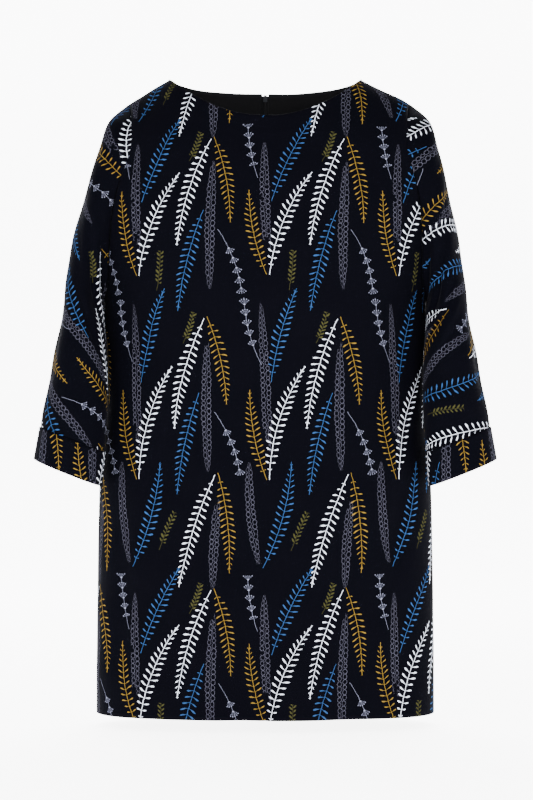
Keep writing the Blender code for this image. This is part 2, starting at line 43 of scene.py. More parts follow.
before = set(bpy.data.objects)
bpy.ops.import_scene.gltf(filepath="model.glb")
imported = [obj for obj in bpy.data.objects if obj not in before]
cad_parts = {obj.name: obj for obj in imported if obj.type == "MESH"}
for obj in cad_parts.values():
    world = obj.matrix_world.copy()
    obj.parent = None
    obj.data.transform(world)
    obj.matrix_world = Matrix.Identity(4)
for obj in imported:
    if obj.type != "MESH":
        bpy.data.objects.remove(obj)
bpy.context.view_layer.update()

# ---------------------------------------------------------------------------------------------------
# The form, with the same values as the solids. Metres.
DRESS_LENGTH = 0.934
UNDERARM_LEVEL = -0.3255
NECK_HALF_WIDTH = 0.1425
SHOULDER_TIP = 0.207
SHOULDER_TIP_LEVEL = -0.035
CLOTH_WALL = 0.0015
CUFF_WALL = 0.0030
CUFF_STEP = 0.0015
SEAM_GAP = 0.0003
SLEEVE_GAP = 0.0004
ZIP_LENGTH = 0.220
ZIP_EDGE = 0.0004
NOTCH_HALF_WIDTH = 0.0052
NOTCH_DEPTH = 0.020

LEAN = 0.0062
LEAN_START = 0.000
LEAN_DEEPEST = -0.036
LEAN_END = -0.290
LEAN_INSIDE = 0.110
LEAN_OUTSIDE = 0.190

BODY_COLUMNS = ("level", "half_width", "front", "back", "squareness")
BODY_ROWS = (
    (-DRESS_LENGTH, 0.2495, 0.1040, 0.0970, 2.35),
    (-0.8600, 0.2492, 0.1045, 0.0978, 2.35),
    (-0.7430, 0.2478, 0.1060, 0.0992, 2.38),
    (-0.6400, 0.2462, 0.1068, 0.0995, 2.40),
    (-0.5900, 0.2445, 0.1066, 0.0970, 2.40),
    (-0.5200, 0.2395, 0.1060, 0.0900, 2.40),
    (-0.4400, 0.2365, 0.1070, 0.0845, 2.40),
    (-0.3800, 0.2358, 0.1095, 0.0860, 2.40),
    (UNDERARM_LEVEL, 0.2365, 0.1125, 0.0915, 2.40),
    (-0.2600, 0.2460, 0.1120, 0.0970, 2.40),
    (-0.2000, 0.2570, 0.1095, 0.0985, 2.40),
    (-0.1400, 0.2650, 0.1070, 0.0975, 2.40),
    (0.0500, 0.2660, 0.1060, 0.0960, 2.40),
)

SHOULDER_COLUMNS = ("across", "height")
SHOULDER_ROWS = (
    (0.0000, 0.0400),
    (0.0700, 0.0303),
    (NECK_HALF_WIDTH, 0.0000),
    (0.1630, -0.0108),
    (0.1850, -0.0226),
    (SHOULDER_TIP, SHOULDER_TIP_LEVEL),
    (0.2285, -0.0505),
    (0.2420, -0.0730),
)

SIDE_COLUMNS = ("facing", "chest_level", "neck_drop", "neck_power")
SIDES = {
    "front": (-1.0, -0.245, 0.0623, 2.1),
    "back": (1.0, -0.210, 0.0132, 3.2),
}
ARCH_POWER = 2.2

ARMHOLES = {
    "front": (
        (0.2365, UNDERARM_LEVEL),
        (0.2350, -0.3225),
        (0.2315, -0.3070),
        (0.2290, -0.2800),
        (0.2275, -0.2450),
        (0.2235, -0.1950),
        (0.2130, -0.1480),
        (0.2010, -0.1090),
        (0.2015, -0.0700),
        (SHOULDER_TIP, SHOULDER_TIP_LEVEL),
    ),
    "back": (
        (0.2365, UNDERARM_LEVEL),
        (0.2350, -0.3225),
        (0.2320, -0.3060),
        (0.2300, -0.2800),
        (0.2290, -0.2450),
        (0.2260, -0.1950),
        (0.2180, -0.1480),
        (0.2085, -0.1090),
        (0.2055, -0.0700),
        (SHOULDER_TIP, SHOULDER_TIP_LEVEL),
    ),
}

SLEEVE_COLUMN_NAMES = ("outer_x", "outer_z", "inner_x", "inner_z", "front", "back", "middle_y")
SLEEVE_RINGS = (
    (0.2325, -0.0580, 0.2371, -0.3290, 0.0700, 0.0640, 0.0000),
    (0.2494, -0.0980, 0.2378, -0.3340, 0.0720, 0.0655, -0.0020),
    (0.2652, -0.1580, 0.2374, -0.3440, 0.0705, 0.0645, -0.0080),
    (0.2780, -0.2210, 0.2360, -0.3580, 0.0665, 0.0615, -0.0190),
    (0.2894, -0.2840, 0.2341, -0.3790, 0.0610, 0.0560, -0.0340),
    (0.2980, -0.3490, 0.2309, -0.4100, 0.0550, 0.0500, -0.0490),
    (0.3080, -0.4110, 0.2290, -0.4500, 0.0500, 0.0460, -0.0590),
    (0.3174, -0.4640, 0.2300, -0.4970, 0.0465, 0.0440, -0.0650),
    (0.3260, -0.5125, 0.2330, -0.5480, 0.0460, 0.0440, -0.0690),
    (0.3342, -0.5590, 0.2378, -0.5970, 0.0470, 0.0450, -0.0710),
)
CUFF_SEAM_RING = 8
SLEEVE_SQUARENESS = 2.15

FOLD_COLUMNS = ("across", "spread", "start", "deepest", "fade", "depth")
FOLDS = {
    "front": (
        (-0.036, 0.034, -0.560, -0.900, -1.200, 0.0060),
        (0.034, 0.036, -0.620, -0.930, -1.200, -0.0030),
        (0.012, 0.030, -0.250, -0.400, -0.560, 0.0030),
        (-0.140, 0.034, -0.440, -0.640, -0.900, 0.0040),
        (0.135, 0.040, -0.520, -0.900, -1.200, 0.0050),
    ),
    "back": (
        (-0.095, 0.038, -0.520, -0.900, -1.200, 0.0060),
        (0.070, 0.036, -0.600, -0.930, -1.200, 0.0050),
        (0.150, 0.036, -0.420, -0.620, -0.900, 0.0040),
        (-0.020, 0.040, -0.560, -0.930, -1.200, -0.0030),
    ),
}
FOLD_EDGE = 0.05
ARM_FOLD_TURN = math.radians(122)
ARM_FOLD_SPREAD = math.radians(17)
ARM_FOLD_START = 0.10
ARM_FOLD_DEEPEST = 0.24
ARM_FOLD_END = 0.40
ARM_FOLD_DEPTH = 0.0075

# ---------------------------------------------------------------------------------------------------
# What the looks add to the form.

# Faces of the shells, about 5 mm each way, so that the print's places bend with the cloth.
PANEL_COLUMNS = 56
NECK_COLUMNS = 38
PANEL_LOW_ROWS = 122
PANEL_HIGH_ROWS = 68
SLEEVE_COLUMNS = 80
SLEEVE_ROWS = 104
CUFF_ROWS = 10
FINE_STEPS = 241

# Soft creases pressed into the shells: from one place to another as seen from the front (across and
# level, or turn and run on a sleeve), how wide and how deep. A negative depth is a ridge.
CREASE_COLUMNS = ("across", "level", "to_across", "to_level", "width", "depth")
BODY_CREASES = {
    "front": (
        (-0.052, -0.600, -0.043, -0.925, 0.011, 0.0016),
        (-0.026, -0.640, -0.020, -0.930, 0.014, -0.0014),
        (0.008, -0.300, 0.016, -0.440, 0.012, 0.0012),
        (-0.146, -0.500, -0.150, -0.610, 0.012, 0.0016),
        (-0.196, -0.330, -0.150, -0.430, 0.014, 0.0018),
        (-0.205, -0.300, -0.178, -0.480, 0.012, 0.0016),
        (0.206, -0.296, 0.180, -0.430, 0.013, 0.0018),
        (0.214, -0.330, 0.202, -0.560, 0.012, 0.0015),
        (0.112, -0.640, 0.121, -0.900, 0.015, 0.0013),
        (0.188, -0.560, 0.196, -0.930, 0.014, 0.0018),
        (-0.205, -0.620, -0.212, -0.930, 0.013, 0.0016),
        (-0.105, -0.100, -0.165, -0.190, 0.014, 0.0009),
        (0.112, -0.096, 0.170, -0.200, 0.016, 0.0009),
        (0.060, -0.700, 0.066, -0.930, 0.012, -0.0010),
    ),
    "back": (
        (-0.120, -0.560, -0.108, -0.930, 0.013, 0.0018),
        (-0.064, -0.640, -0.056, -0.930, 0.014, -0.0014),
        (0.052, -0.620, 0.060, -0.925, 0.013, 0.0016),
        (0.164, -0.470, 0.158, -0.640, 0.014, 0.0017),
        (0.200, -0.320, 0.150, -0.420, 0.014, 0.0020),
        (-0.202, -0.310, -0.160, -0.450, 0.014, 0.0018),
        (-0.190, -0.600, -0.200, -0.930, 0.014, 0.0016),
        (0.198, -0.640, 0.206, -0.930, 0.013, 0.0018),
        (-0.012, -0.300, -0.080, -0.380, 0.014, 0.0012),
        (0.020, -0.330, 0.090, -0.390, 0.013, 0.0012),
        (0.010, -0.420, -0.004, -0.640, 0.016, 0.0012),
    ),
}
# On a sleeve the turn counts degrees from the outer line round by the front, and the run counts metres
# down from the shoulder.
SLEEVE_CREASES = {
    1: (
        (92, 0.150, 128, 0.240, 0.012, 0.0022),
        (70, 0.255, 118, 0.300, 0.010, 0.0024),
        (60, 0.300, 124, 0.345, 0.011, -0.0018),
        (76, 0.335, 128, 0.372, 0.009, 0.0022),
        (40, 0.120, 96, 0.210, 0.014, 0.0015),
        (134, 0.370, 96, 0.450, 0.012, 0.0018),
        (232, 0.200, 262, 0.300, 0.013, 0.0022),
        (246, 0.320, 290, 0.366, 0.011, 0.0022),
        (20, 0.330, 26, 0.480, 0.013, 0.0012),
        (-30, 0.240, -22, 0.420, 0.014, 0.0013),
    ),
    -1: (
        (100, 0.140, 132, 0.230, 0.012, 0.0024),
        (84, 0.270, 130, 0.330, 0.011, 0.0020),
        (52, 0.180, 80, 0.330, 0.014, 0.0014),
        (110, 0.350, 84, 0.470, 0.012, 0.0016),
        (228, 0.190, 258, 0.290, 0.013, 0.0022),
        (250, 0.300, 286, 0.352, 0.011, 0.0020),
        (14, 0.300, 24, 0.470, 0.013, 0.0012),
        (-36, 0.220, -24, 0.400, 0.014, 0.0013),
    ),
}
# A crease wanders by a share of its width, so many waves to its length, from a phase that differs from
# crease to crease. It fades in over one share of its length and out over another, past both ends.
WANDER = 0.12
WANDER_WAVES = 9
WANDER_PHASE = 40
CREASE_PAST = 0.15
CREASE_IN = 0.45
CREASE_OUT = 0.60
# The cloth is never quite even: slow waves, as (wavelength, direction, phase), each this high.
WAVES = ((0.118, 0.35, 0.4), (0.086, 1.30, 2.1), (0.151, 2.20, 4.0), (0.067, 2.85, 5.2))
WAVE_HEIGHT = 0.0006
SEAM_DIP = 0.0006
# A sleeve's creases fade towards the armhole, the cuff and the underarm seam (degrees of turn).
ARMHOLE_FADE = 0.03
CUFF_FADE = 0.02
UNDERARM_FADE = 30
# Its turns past this count as negative, and a degree counts as this many metres of an even tube.
TURN_LIMIT = 300
DEGREE_RUN = 0.0009
# Just under the armhole it is pushed out against the body: levels, and degrees beside the seam.
REST_PUSH = 0.0014
REST_TOP = -0.3270
REST_TOP_FADE = 0.008
REST_BOTTOM = -0.405
REST_BOTTOM_FADE = 0.03
REST_TURN = 20
REST_TURN_SPREAD = 15
# A panel's creases fade where it grows thin and over the last columns before its side edge.
THIN_FADE = 0.03
SIDE_FADE_COLUMNS = 5
# A tube laid flat is eased this many times on each grid that divides evenly, from every eighth row and
# column to all of them.
EASE_STEPS = 300
EASE_SKIPS = (8, 4, 2, 1)
NECK_RIDGE_DROP = 0.026
NECK_RIDGE_WIDTH = 0.0045
NECK_RIDGE_HEIGHT = 0.00045
FINISHED_ROUND = 0.0006
SEAM_ROUND = 0.00015
SEAM_REACH = 0.002
# Steps of the tables of lengths along the form, and the highest and outermost place in them.
ACROSS_STEPS = 121
ACROSS_LEVELS = 120
ACROSS_TOP = 0.01
UP_STEPS = 61
UP_PLACES = 66
UP_SIDE = 0.26

# ---------------------------------------------------------------------------------------------------
# The print: groups of motifs, charted in millimetres. Each motif starts at a place, runs off in
# a heading (degrees, 90 is up), and has a length, a bend over that length and a size.
MOTIF_COLUMNS = ("kind", "ink", "x", "y", "heading", "length", "bend", "size")
ROOF = (
    ("frond", "white", -2, 0, -118, 160, 20, 1.00),
    ("frond", "ochre", 2, 3, -69, 126, -20, 0.95),
    ("frond", "blue", -13, -106, -112, 146, 14, 0.98),
    ("chain", "lavender", 1, -34, -94, 180, 5, 0.90),
    ("flower", "silver", 8, -134, -56, 96, -26, 1.00),
    ("sprig", "olive", -34, -34, 60, 46, 18, 0.90),
)
FORK = (
    ("frond", "ochre", -2, 0, 113, 122, -22, 0.92),
    ("frond", "white", 2, 0, 83, 158, -30, 1.00),
    ("frond", "blue", 5, 106, 72, 136, -14, 0.98),
    ("chain", "lavender", 1, 16, 95, 172, -6, 0.85),
    ("flower", "silver", -15, 140, 108, 80, -16, 1.00),
    ("sprig", "olive", 30, -22, 78, 56, 12, 1.00),
)
LONG_FORK = (
    ("frond", "ochre", -2, 0, 112, 128, -20, 0.92),
    ("frond", "white", 2, 0, 90, 168, -32, 1.00),
    ("frond", "blue", 2, 140, 84, 136, -16, 0.98),
    ("chain", "lavender", 0, 14, 92, 232, 3, 0.85),
    ("flower", "silver", -12, 164, 118, 98, -24, 1.00),
)
LONE_ROOF = (
    ("frond", "white", -2, 0, -114, 166, 14, 1.00),
    ("frond", "ochre", 2, 3, -73, 142, -18, 0.95),
    ("frond", "blue", 70, -132, 64, 154, 24, 1.00),
    ("chain", "lavender", 3, -36, -95, 124, 6, 0.85),
    ("chain", "lavender", 64, -126, 104, 142, -14, 0.85),
    ("sprig", "olive", 110, -106, 72, 58, -8, 1.00),
)
# The groups in one cell of the repeat: where each lies and how far it is turned.
CELL_WIDTH = 192.0
CELL_HEIGHT = 652.0
GROUPS_PLACED = (
    (ROOF, 0, 187, 0.0),
    (FORK, 80, -12, 0.0),
    (LONE_ROOF, 6, 353, -1.5),
    (ROOF, -10, 577, 2.0),
    (LONG_FORK, 80, 346, -1.0),
)
# How wide each kind of motif is on either side of its stem, in millimetres.
REACH = {"frond": 14.5, "chain": 9.0, "flower": 9.0, "sprig": 6.5}
# Half the thickness of each ink's leaflets, in millimetres.
LEAFLET = {"white": 1.22, "blue": 1.15, "ochre": 0.98}
KINDS = {"frond": 1.0, "chain": 2.0, "flower": 3.0, "sprig": 4.0}
# How far past its outline a motif still reaches a face, past its tip, and past its length for a first
# look, in millimetres.
INK_MARGIN = 0.6
TIP_MARGIN = 5
LEAST_LENGTH = 40
LENGTH_MARGIN = 20

# Leaflets for each millimetre of a frond's stem, how many more there are by its tip, how far they lean
# towards the tip at the root and more at the tip, and their reach and its random part, in millimetres.
FROND_RATE = 0.1035
FROND_CLOSING = 0.0103
FROND_LEAN = (0.22, 0.75)
FROND_REACH = (9.6, 2.6)
# The distance from loop to loop, from fan to fan and from leaf to leaf, in millimetres.
CHAIN_PITCH = 8.4
FAN_PITCH = 15.0
SPRIG_PITCH = 6.2
# Each stem's half width. Millimetres here and below.
STEM = {"frond": 0.42, "flower": 0.22, "sprig": 0.35}
TIP_LENGTH = 3.4
# A chain's loops: the least radius and its random part, how far the second column lags (a share of the
# pitch), how far each strays, how far out a column lies, and half the line's thickness.
CHAIN_RADIUS = (2.6, 1.3)
CHAIN_LAG = 0.42
CHAIN_STRAY = 2.6
CHAIN_COLUMN = 4.3
CHAIN_LINE = 0.19
# A fan's reach and how much it grows along the stem, its half angle, rays to a radian and radians to a
# ray, its arc (a share of the reach), its cup, and the bare share of the stem.
FAN_REACH = (7.4, 1.6)
FAN_ANGLE = 0.96
FAN_RAYS = 2.6
FAN_RAY_TURN = 0.385
FAN_ARC = 0.72
FAN_CUP = 2.0
FAN_BARE = 0.24
# A sprig's leaves: half sizes along and away from the stem, how far out, their lean and lag, their least
# size and its random part, and the bare share of the stem.
SPRIG_LEAF = (1.7, 2.5)
SPRIG_OUT = 2.9
SPRIG_LEAN = 0.7
SPRIG_LAG = 0.4
SPRIG_SIZE = (0.65, 0.5)
SPRIG_BARE = 0.2
# Half widths over a length, as (share of the length, share of the greatest half width).
FROND_OUTLINE = (
    (0.0, 0.0), (0.04, 0.0), (0.10, 0.40), (0.26, 0.86), (0.48, 1.0), (0.72, 0.78), (0.90, 0.42), (1.0, 0.18)
)
LEAFLET_OUTLINE = ((0.0, 0.26), (0.28, 0.30), (0.50, 0.72), (0.72, 1.0), (0.90, 0.74), (1.0, 0.25))
CHAIN_OUTLINE = ((0.0, 0.30), (0.15, 0.72), (0.42, 1.0), (0.75, 0.90), (1.0, 0.35))

# How the printed cloth lies on each piece: which way its top points as seen from outside (degrees, 90 is
# up), and the place on it, in millimetres, that meets the piece's own middle.
LAY = {
    "front_cloth": (90, 76, 0),
    "back_cloth_left": (90, 118, 40),
    "back_cloth_right": (90, 118, 40),
    "sleeve_cloth_left": (26, 20, 330),
    "sleeve_cloth_right": (134, 110, 430),
    "cuff_cloth_left": (84, 104, 62),
    "cuff_cloth_right": (98, -44, 62),
}

FACING_WALL = 0.0010
TAPE_WALL = 0.0008
TAPE_WIDTH = 0.0125
# Where the facing's first columns lie, metres from the centre line: the last one is off the tape.
FACING_STEPS = (0.0052, 0.009, TAPE_WIDTH + 0.001)
FACING_FINE_ROWS = 11
FACING_FINE_COLUMNS = 46
ZIP_FINE_ROWS = 45
COIL_HALF_WIDTH = 0.0015
COIL_THICKNESS = 0.0016
TOOTH_PITCH = 0.0016
TOOTH_RADIUS = 0.00055
TOOTH_SIDES = 10
TOOTH_BEVEL = 0.45
TOOTH_LEAN = 7
CORE_HALF_THICKNESS = 0.0002
SLIDER_DROP = 0.0062
# The zip ends this share of a row below the neck edge, and its tapes have this many columns.
ZIP_TOP_DROP = 0.6
TAPE_COLUMNS = 5
NEAR_COLUMNS = 8

PHOTO_DISTANCE = 3.47
PHOTO_HEIGHT = 1.184
PHOTO_CENTRE = (0.0018, -0.4736)
# The paper's sweep: its front edge, where it bends up, how wide the bend is, and its top.
SWEEP_FRONT = -7.0
SWEEP_BEND = 2.2
SWEEP_RADIUS = 1.6
SWEEP_STEPS = 12
SWEEP_TOP = 5.0
SWEEP_HALF_WIDTH = 6
# The lights, as (name, place, size, share of the key light's power), and what they point at.
LIGHTS = (
    ("key", (-1.5, -3.2, 1.5), 2.6, 1.0),
    ("fill", (2.2, -2.8, 0.6), 2.4, 0.45),
    ("rim", (0.0, 2.0, 2.4), 2.0, 0.5),
)
LIGHT_AIM = Vector((0, 0, -0.45))
HANDS = (("left", 1), ("right", -1))


def linear(code):
    """The linear colour of an sRGB hex value."""
    parts = [int(code[i : i + 2], 16) / 255 for i in (0, 2, 4)]
    return tuple(c / 12.92 if c <= 0.04045 else ((c + 0.055) / 1.055) ** 2.4 for c in parts)


# ---------------------------------------------------------------------------------------------------
# Properties that a user would change.


def amount(name, description, default, unit="NONE", **limits):
    """A number that a user can change, which isn't below 0 unless the limits say so."""
    limits = {"min": 0, **limits}
    return bpy.props.FloatProperty(name=name, description=description, default=default, unit=unit, **limits)


def colour(name, description, code):
    """A colour that a user can change, from its sRGB hex value."""
    return bpy.props.FloatVectorProperty(
        name=name, description=description, subtype="COLOR", size=3, default=linear(code)
    )


class DressCloth(bpy.types.PropertyGroup):
    crease_depth: amount("Crease depth", "Multiplies the depth of the pressed creases", 1.8, max=3)
    cord_pitch: amount("Cord pitch", "Distance between the cloth's fine cords", 0.0016, "LENGTH", min=0.0005)
    cord_height: amount("Cord height", "Height of the fine cords", 0.00012, "LENGTH")


class DressColours(bpy.types.PropertyGroup):
    ground: colour("Ground", "The cloth's ground", "030306")
    white: colour("White", "White ink", "c6cbd8")
    blue: colour("Blue", "Blue ink", "203c62")
    ochre: colour("Ochre", "Ochre ink", "69531f")
    lavender: colour("Lavender", "Lavender ink", "4f4e5c")
    silver: colour("Silver", "Silver grey ink", "74768a")
    olive: colour("Olive", "Olive ink", "302f18")


class DressStudio(bpy.types.PropertyGroup):
    floor_drop: amount("Floor drop", "Floor below the hem", 0.020, "LENGTH")
    key_power: amount("Key light", "Power of the large front light", 140.0, "POWER")
    sky: amount("Surround", "Strength of the even surround", 1.5)
    glow: amount("Backdrop glow", "Light that comes through the backdrop", 6.0)


# ---------------------------------------------------------------------------------------------------
# The form's functions.


def read(names, rows, column, at):
    """Values of a named column, along a smooth curve through the rows. The first column is the scale."""
    rows = np.asarray(rows, float)
    knots = rows[:, 0]
    values = rows[:, names.index(column)]
    slopes = np.gradient(values, knots)
    at = np.clip(np.asarray(at, float), knots[0], knots[-1])
    i = np.clip(np.searchsorted(knots, at, side="right") - 1, 0, len(knots) - 2)
    span = knots[i + 1] - knots[i]
    t = (at - knots[i]) / span
    rise = values[i + 1] - values[i]
    bend = (slopes[i] * span - rise) * (1 - t) + (rise - slopes[i + 1] * span) * t
    return values[i] + rise * t + t * (1 - t) * bend


def side_value(side, column):
    return SIDES[side][SIDE_COLUMNS.index(column)]


def body(column, level):
    return read(BODY_COLUMNS, BODY_ROWS, column, level)


def shoulder_height(across):
    return read(SHOULDER_COLUMNS, SHOULDER_ROWS, "height", across)


def smooth_step(x):
    x = np.clip(x, 0, 1)
    return x * x * (3 - 2 * x)


def rise_and_fade(at, start, peak, end):
    return smooth_step((at - start) / (peak - start)) * (1 - smooth_step((at - peak) / (end - peak)))


def unit(vectors):
    return vectors / np.linalg.norm(vectors, axis=-1, keepdims=True)


def fold_depth(side, across, level):
    total = np.zeros(np.broadcast(across, level).shape)
    for row in FOLDS[side]:
        fold = dict(zip(FOLD_COLUMNS, row))
        share = rise_and_fade(level, fold["start"], fold["deepest"], fold["fade"])
        total = total + fold["depth"] * share * np.exp(-(((across - fold["across"]) / fold["spread"]) ** 2))
    return total


def form_point(side, hand, across, level):
    """The form's point at a place seen from the front, as in the solids."""
    across = np.asarray(across, float)
    level = np.asarray(level, float) + 0 * across
    squareness = body("squareness", level)
    inset = np.clip(1 - (across / body("half_width", level)) ** squareness, 0, 1)
    chest = side_value(side, "chest_level")
    climb = np.clip((level - chest) / (shoulder_height(across) - chest), 0, 1)
    depth = body(side, level) * inset ** (1 / squareness) * np.sqrt(1 - climb**ARCH_POWER)
    depth = depth - fold_depth(side, hand * across, level) * np.minimum(depth / FOLD_EDGE, 1)
    facing = side_value(side, "facing")
    return np.stack([across, facing * np.maximum(depth, SEAM_GAP / 2), level], axis=-1)


def lean(points):
    level = points[..., 2]
    share = smooth_step((LEAN_START - level) / (LEAN_START - LEAN_DEEPEST))
    share = share * (1 - smooth_step((LEAN_DEEPEST - level) / (LEAN_DEEPEST - LEAN_END)))
    share = share * smooth_step((np.abs(points[..., 0]) - LEAN_INSIDE) / (LEAN_OUTSIDE - LEAN_INSIDE))
    return points + LEAN * share[..., None] * np.array((1, 0, 0))


def run_along(points):
    """How far each point of a curve lies along it."""
    return np.concatenate([[0], np.cumsum(np.linalg.norm(np.diff(points, axis=0), axis=1))])


def at_run(places, run, points):
    """Points of a curve at some places along it."""
    return np.stack([np.interp(places, run, points[:, k]) for k in range(3)], axis=-1)


def along(points, count):
    run = run_along(points)
    return at_run(np.linspace(0, run[-1], count + 1), run, points)


def smooth_curve(points, count):
    run = run_along(points)
    table = np.column_stack([run, points])
    names = ("run", "x", "y", "z")
    fine = np.linspace(0, run[-1], FINE_STEPS)
    return along(np.stack([read(names, table, axis, fine) for axis in names[1:]], axis=-1), count)


def armhole(side, hand, count):
    rows = np.array(ARMHOLES[side])
    points = form_point(side, hand, rows[:, 0], rows[:, 1])
    points[[0, -1], 1] = side_value(side, "facing") * SEAM_GAP / 2
    return smooth_curve(points, count)


def neck_level(side, across):
    share = np.minimum(across / NECK_HALF_WIDTH, 1)
    return -side_value(side, "neck_drop") * (1 - share ** side_value(side, "neck_power"))


def centre_edge(side, level):
    if side == "front":
        return 0 * level
    top = neck_level("back", 0)
    notch = smooth_step(1 - (top - level) / NOTCH_DEPTH)
    on_zip = smooth_step((level - top + ZIP_LENGTH) / NOTCH_DEPTH)
    return SEAM_GAP / 2 + (ZIP_EDGE - SEAM_GAP / 2) * on_zip + NOTCH_HALF_WIDTH * notch


def section(side, hand, level, columns):
    turn = np.linspace(0, math.pi / 2, FINE_STEPS)
    share = np.sin(turn) ** (2 / body("squareness", level))
    start = centre_edge(side, level)
    across = start + (body("half_width", level) - start) * share
    return along(form_point(side, hand, across, level), columns)


def top_edge(side, hand, columns, neck_columns):
    start = centre_edge(side, neck_level(side, 0))
    across = start + (NECK_HALF_WIDTH - start) * np.sin(np.linspace(0, math.pi / 2, FINE_STEPS))
    neck = along(form_point(side, hand, across, neck_level(side, across)), neck_columns)
    across = np.linspace(NECK_HALF_WIDTH, SHOULDER_TIP, columns - neck_columns + 1)[1:]
    return np.concatenate([neck, form_point(side, hand, across, shoulder_height(across))])


def half_panel(side, hand):
    """Half a body panel before it is placed: rows from the hem up, columns from the centre to the side."""
    low_levels = np.linspace(-DRESS_LENGTH, UNDERARM_LEVEL, PANEL_LOW_ROWS + 1)
    rows = [section(side, hand, level, PANEL_COLUMNS) for level in low_levels]
    bottom = rows[-1]
    top = top_edge(side, hand, PANEL_COLUMNS, NECK_COLUMNS)
    outer = armhole(side, hand, PANEL_HIGH_ROWS)
    levels = np.linspace(UNDERARM_LEVEL, neck_level(side, 0), PANEL_HIGH_ROWS + 1)
    inner = form_point(side, hand, centre_edge(side, levels), levels)
    u = np.linspace(0, 1, PANEL_COLUMNS + 1)[:, None]
    for row in range(1, PANEL_HIGH_ROWS):
        v = row / PANEL_HIGH_ROWS
        flat = (1 - v) * bottom + v * top + (1 - u) * inner[row] + u * outer[row]
        flat -= (1 - u) * ((1 - v) * bottom[0] + v * top[0]) + u * ((1 - v) * bottom[-1] + v * top[-1])
        points = form_point(side, hand, flat[:, 0], flat[:, 2])
        points[-1] = outer[row]
        rows.append(points)
    rows.append(top)
    return np.array(rows)


def armhole_ring(hand, count):
    front = armhole("front", hand, count // 2)[::-1]
    back = armhole("back", hand, count // 2)
    ring = np.concatenate([front, back[1:-1]])
    ring[[0, count // 2], 1] = 0
    return ring


def sleeve_ring(row, count):
    value = dict(zip(SLEEVE_COLUMN_NAMES, row))
    outer = np.array([value["outer_x"], 0, value["outer_z"]])
    inner = np.array([value["inner_x"], 0, value["inner_z"]])
    turn = 2 * math.pi * np.arange(count) / count
    power = 2 / SLEEVE_SQUARENESS
    lengthwise = np.sign(np.cos(turn)) * np.abs(np.cos(turn)) ** power
    depth = np.where(np.sin(turn) > 0, -value["front"], value["back"]) * np.abs(np.sin(turn)) ** power
    points = (outer + inner) / 2 + lengthwise[:, None] * (outer - inner) / 2
    points[:, 1] += value["middle_y"] + depth
    return points


def sleeve_rings(hand, count):
    rings = np.array([armhole_ring(hand, count)] + [sleeve_ring(row, count) for row in SLEEVE_RINGS])
    return rings, run_along(rings[:, 0])


def tube(hand, places):
    """Points of the sleeve at some places down its outer line, as rings that don't repeat a point."""
    rings, run = sleeve_rings(hand, SLEEVE_COLUMNS)
    table = np.column_stack([run, rings.reshape(len(run), -1)])
    names = list(range(table.shape[1]))
    points = np.stack([read(names, table, column, places) for column in names[1:]], axis=-1)
    points = points.reshape(len(places), SLEEVE_COLUMNS, 3)
    turn = 2 * math.pi * np.arange(SLEEVE_COLUMNS) / SLEEVE_COLUMNS
    depth = ARM_FOLD_DEPTH * rise_and_fade(places, ARM_FOLD_START, ARM_FOLD_DEEPEST, ARM_FOLD_END)
    depth = depth[:, None] * np.exp(-(((turn - ARM_FOLD_TURN) / ARM_FOLD_SPREAD) ** 2))
    return points + depth[:, :, None] * unit(points.mean(axis=1, keepdims=True) - points)


def outward(points, closed=False):
    """Unit normals of a grid whose rows run up and columns to the right, from outside."""
    if closed:
        right = np.roll(points, -1, axis=1) - np.roll(points, 1, axis=1)
    else:
        right = np.gradient(points, axis=1)
    normals = np.cross(right, np.gradient(points, axis=0))
    if not closed:
        normals[..., 1] = np.where(np.abs(points[..., 1]) <= SEAM_GAP, 0, normals[..., 1])
    return unit(normals)


# ---------------------------------------------------------------------------------------------------
# Where a place on the form lies on the flat cloth.


def pick(table, row, column):
    """Values of a table between its rows and columns."""
    row = np.clip(row, 0, table.shape[0] - 1.001)
    column = np.clip(column, 0, table.shape[1] - 1.001)
    r = row.astype(int)
    c = column.astype(int)
    v = row - r
    u = column - c
    low = (1 - u) * table[r, c] + u * table[r, c + 1]
    high = (1 - u) * table[r + 1, c] + u * table[r + 1, c + 1]
    return (1 - v) * low + v * high


def flat_across(side, hand, points):
    """How far each point lies from the centre line, measured along the cloth at its own level."""
    turn = np.linspace(0, math.pi / 2, ACROSS_STEPS)
    levels = np.linspace(-DRESS_LENGTH, ACROSS_TOP, ACROSS_LEVELS)
    table = []
    for level in levels:
        across = body("half_width", level) * np.sin(turn) ** (2 / body("squareness", level))
        table.append(run_along(form_point(side, hand, across, level)))
    level = points[..., 2]
    share = np.clip(points[..., 0] / body("half_width", level), 0, 1)
    at = np.arcsin(share ** (body("squareness", level) / 2))
    row = (level - levels[0]) / (levels[1] - levels[0])
    return pick(np.array(table), row, at / (turn[1] - turn[0]))


def flat_up(side, hand, points):
    """How far up from the hem each point lies, measured along the cloth. It is longer over the chest."""
    chest = side_value(side, "chest_level")
    turn = np.linspace(0, math.pi / 2, UP_STEPS)
    places = np.linspace(0, UP_SIDE, UP_PLACES)
    table = []
    for across in places:
        levels = chest + (shoulder_height(across) - chest) * np.sin(turn) ** (2 / ARCH_POWER)
        table.append(run_along(form_point(side, hand, 0 * levels + across, levels)))
    climb = np.clip((points[..., 2] - chest) / (shoulder_height(points[..., 0]) - chest), 0, 1)
    at = np.arcsin(climb ** (ARCH_POWER / 2))
    over = pick(np.array(table), points[..., 0] / (places[1] - places[0]), at / (turn[1] - turn[0]))
    return np.minimum(points[..., 2], chest) + DRESS_LENGTH + over


# ---------------------------------------------------------------------------------------------------
# Creases and unevenness.


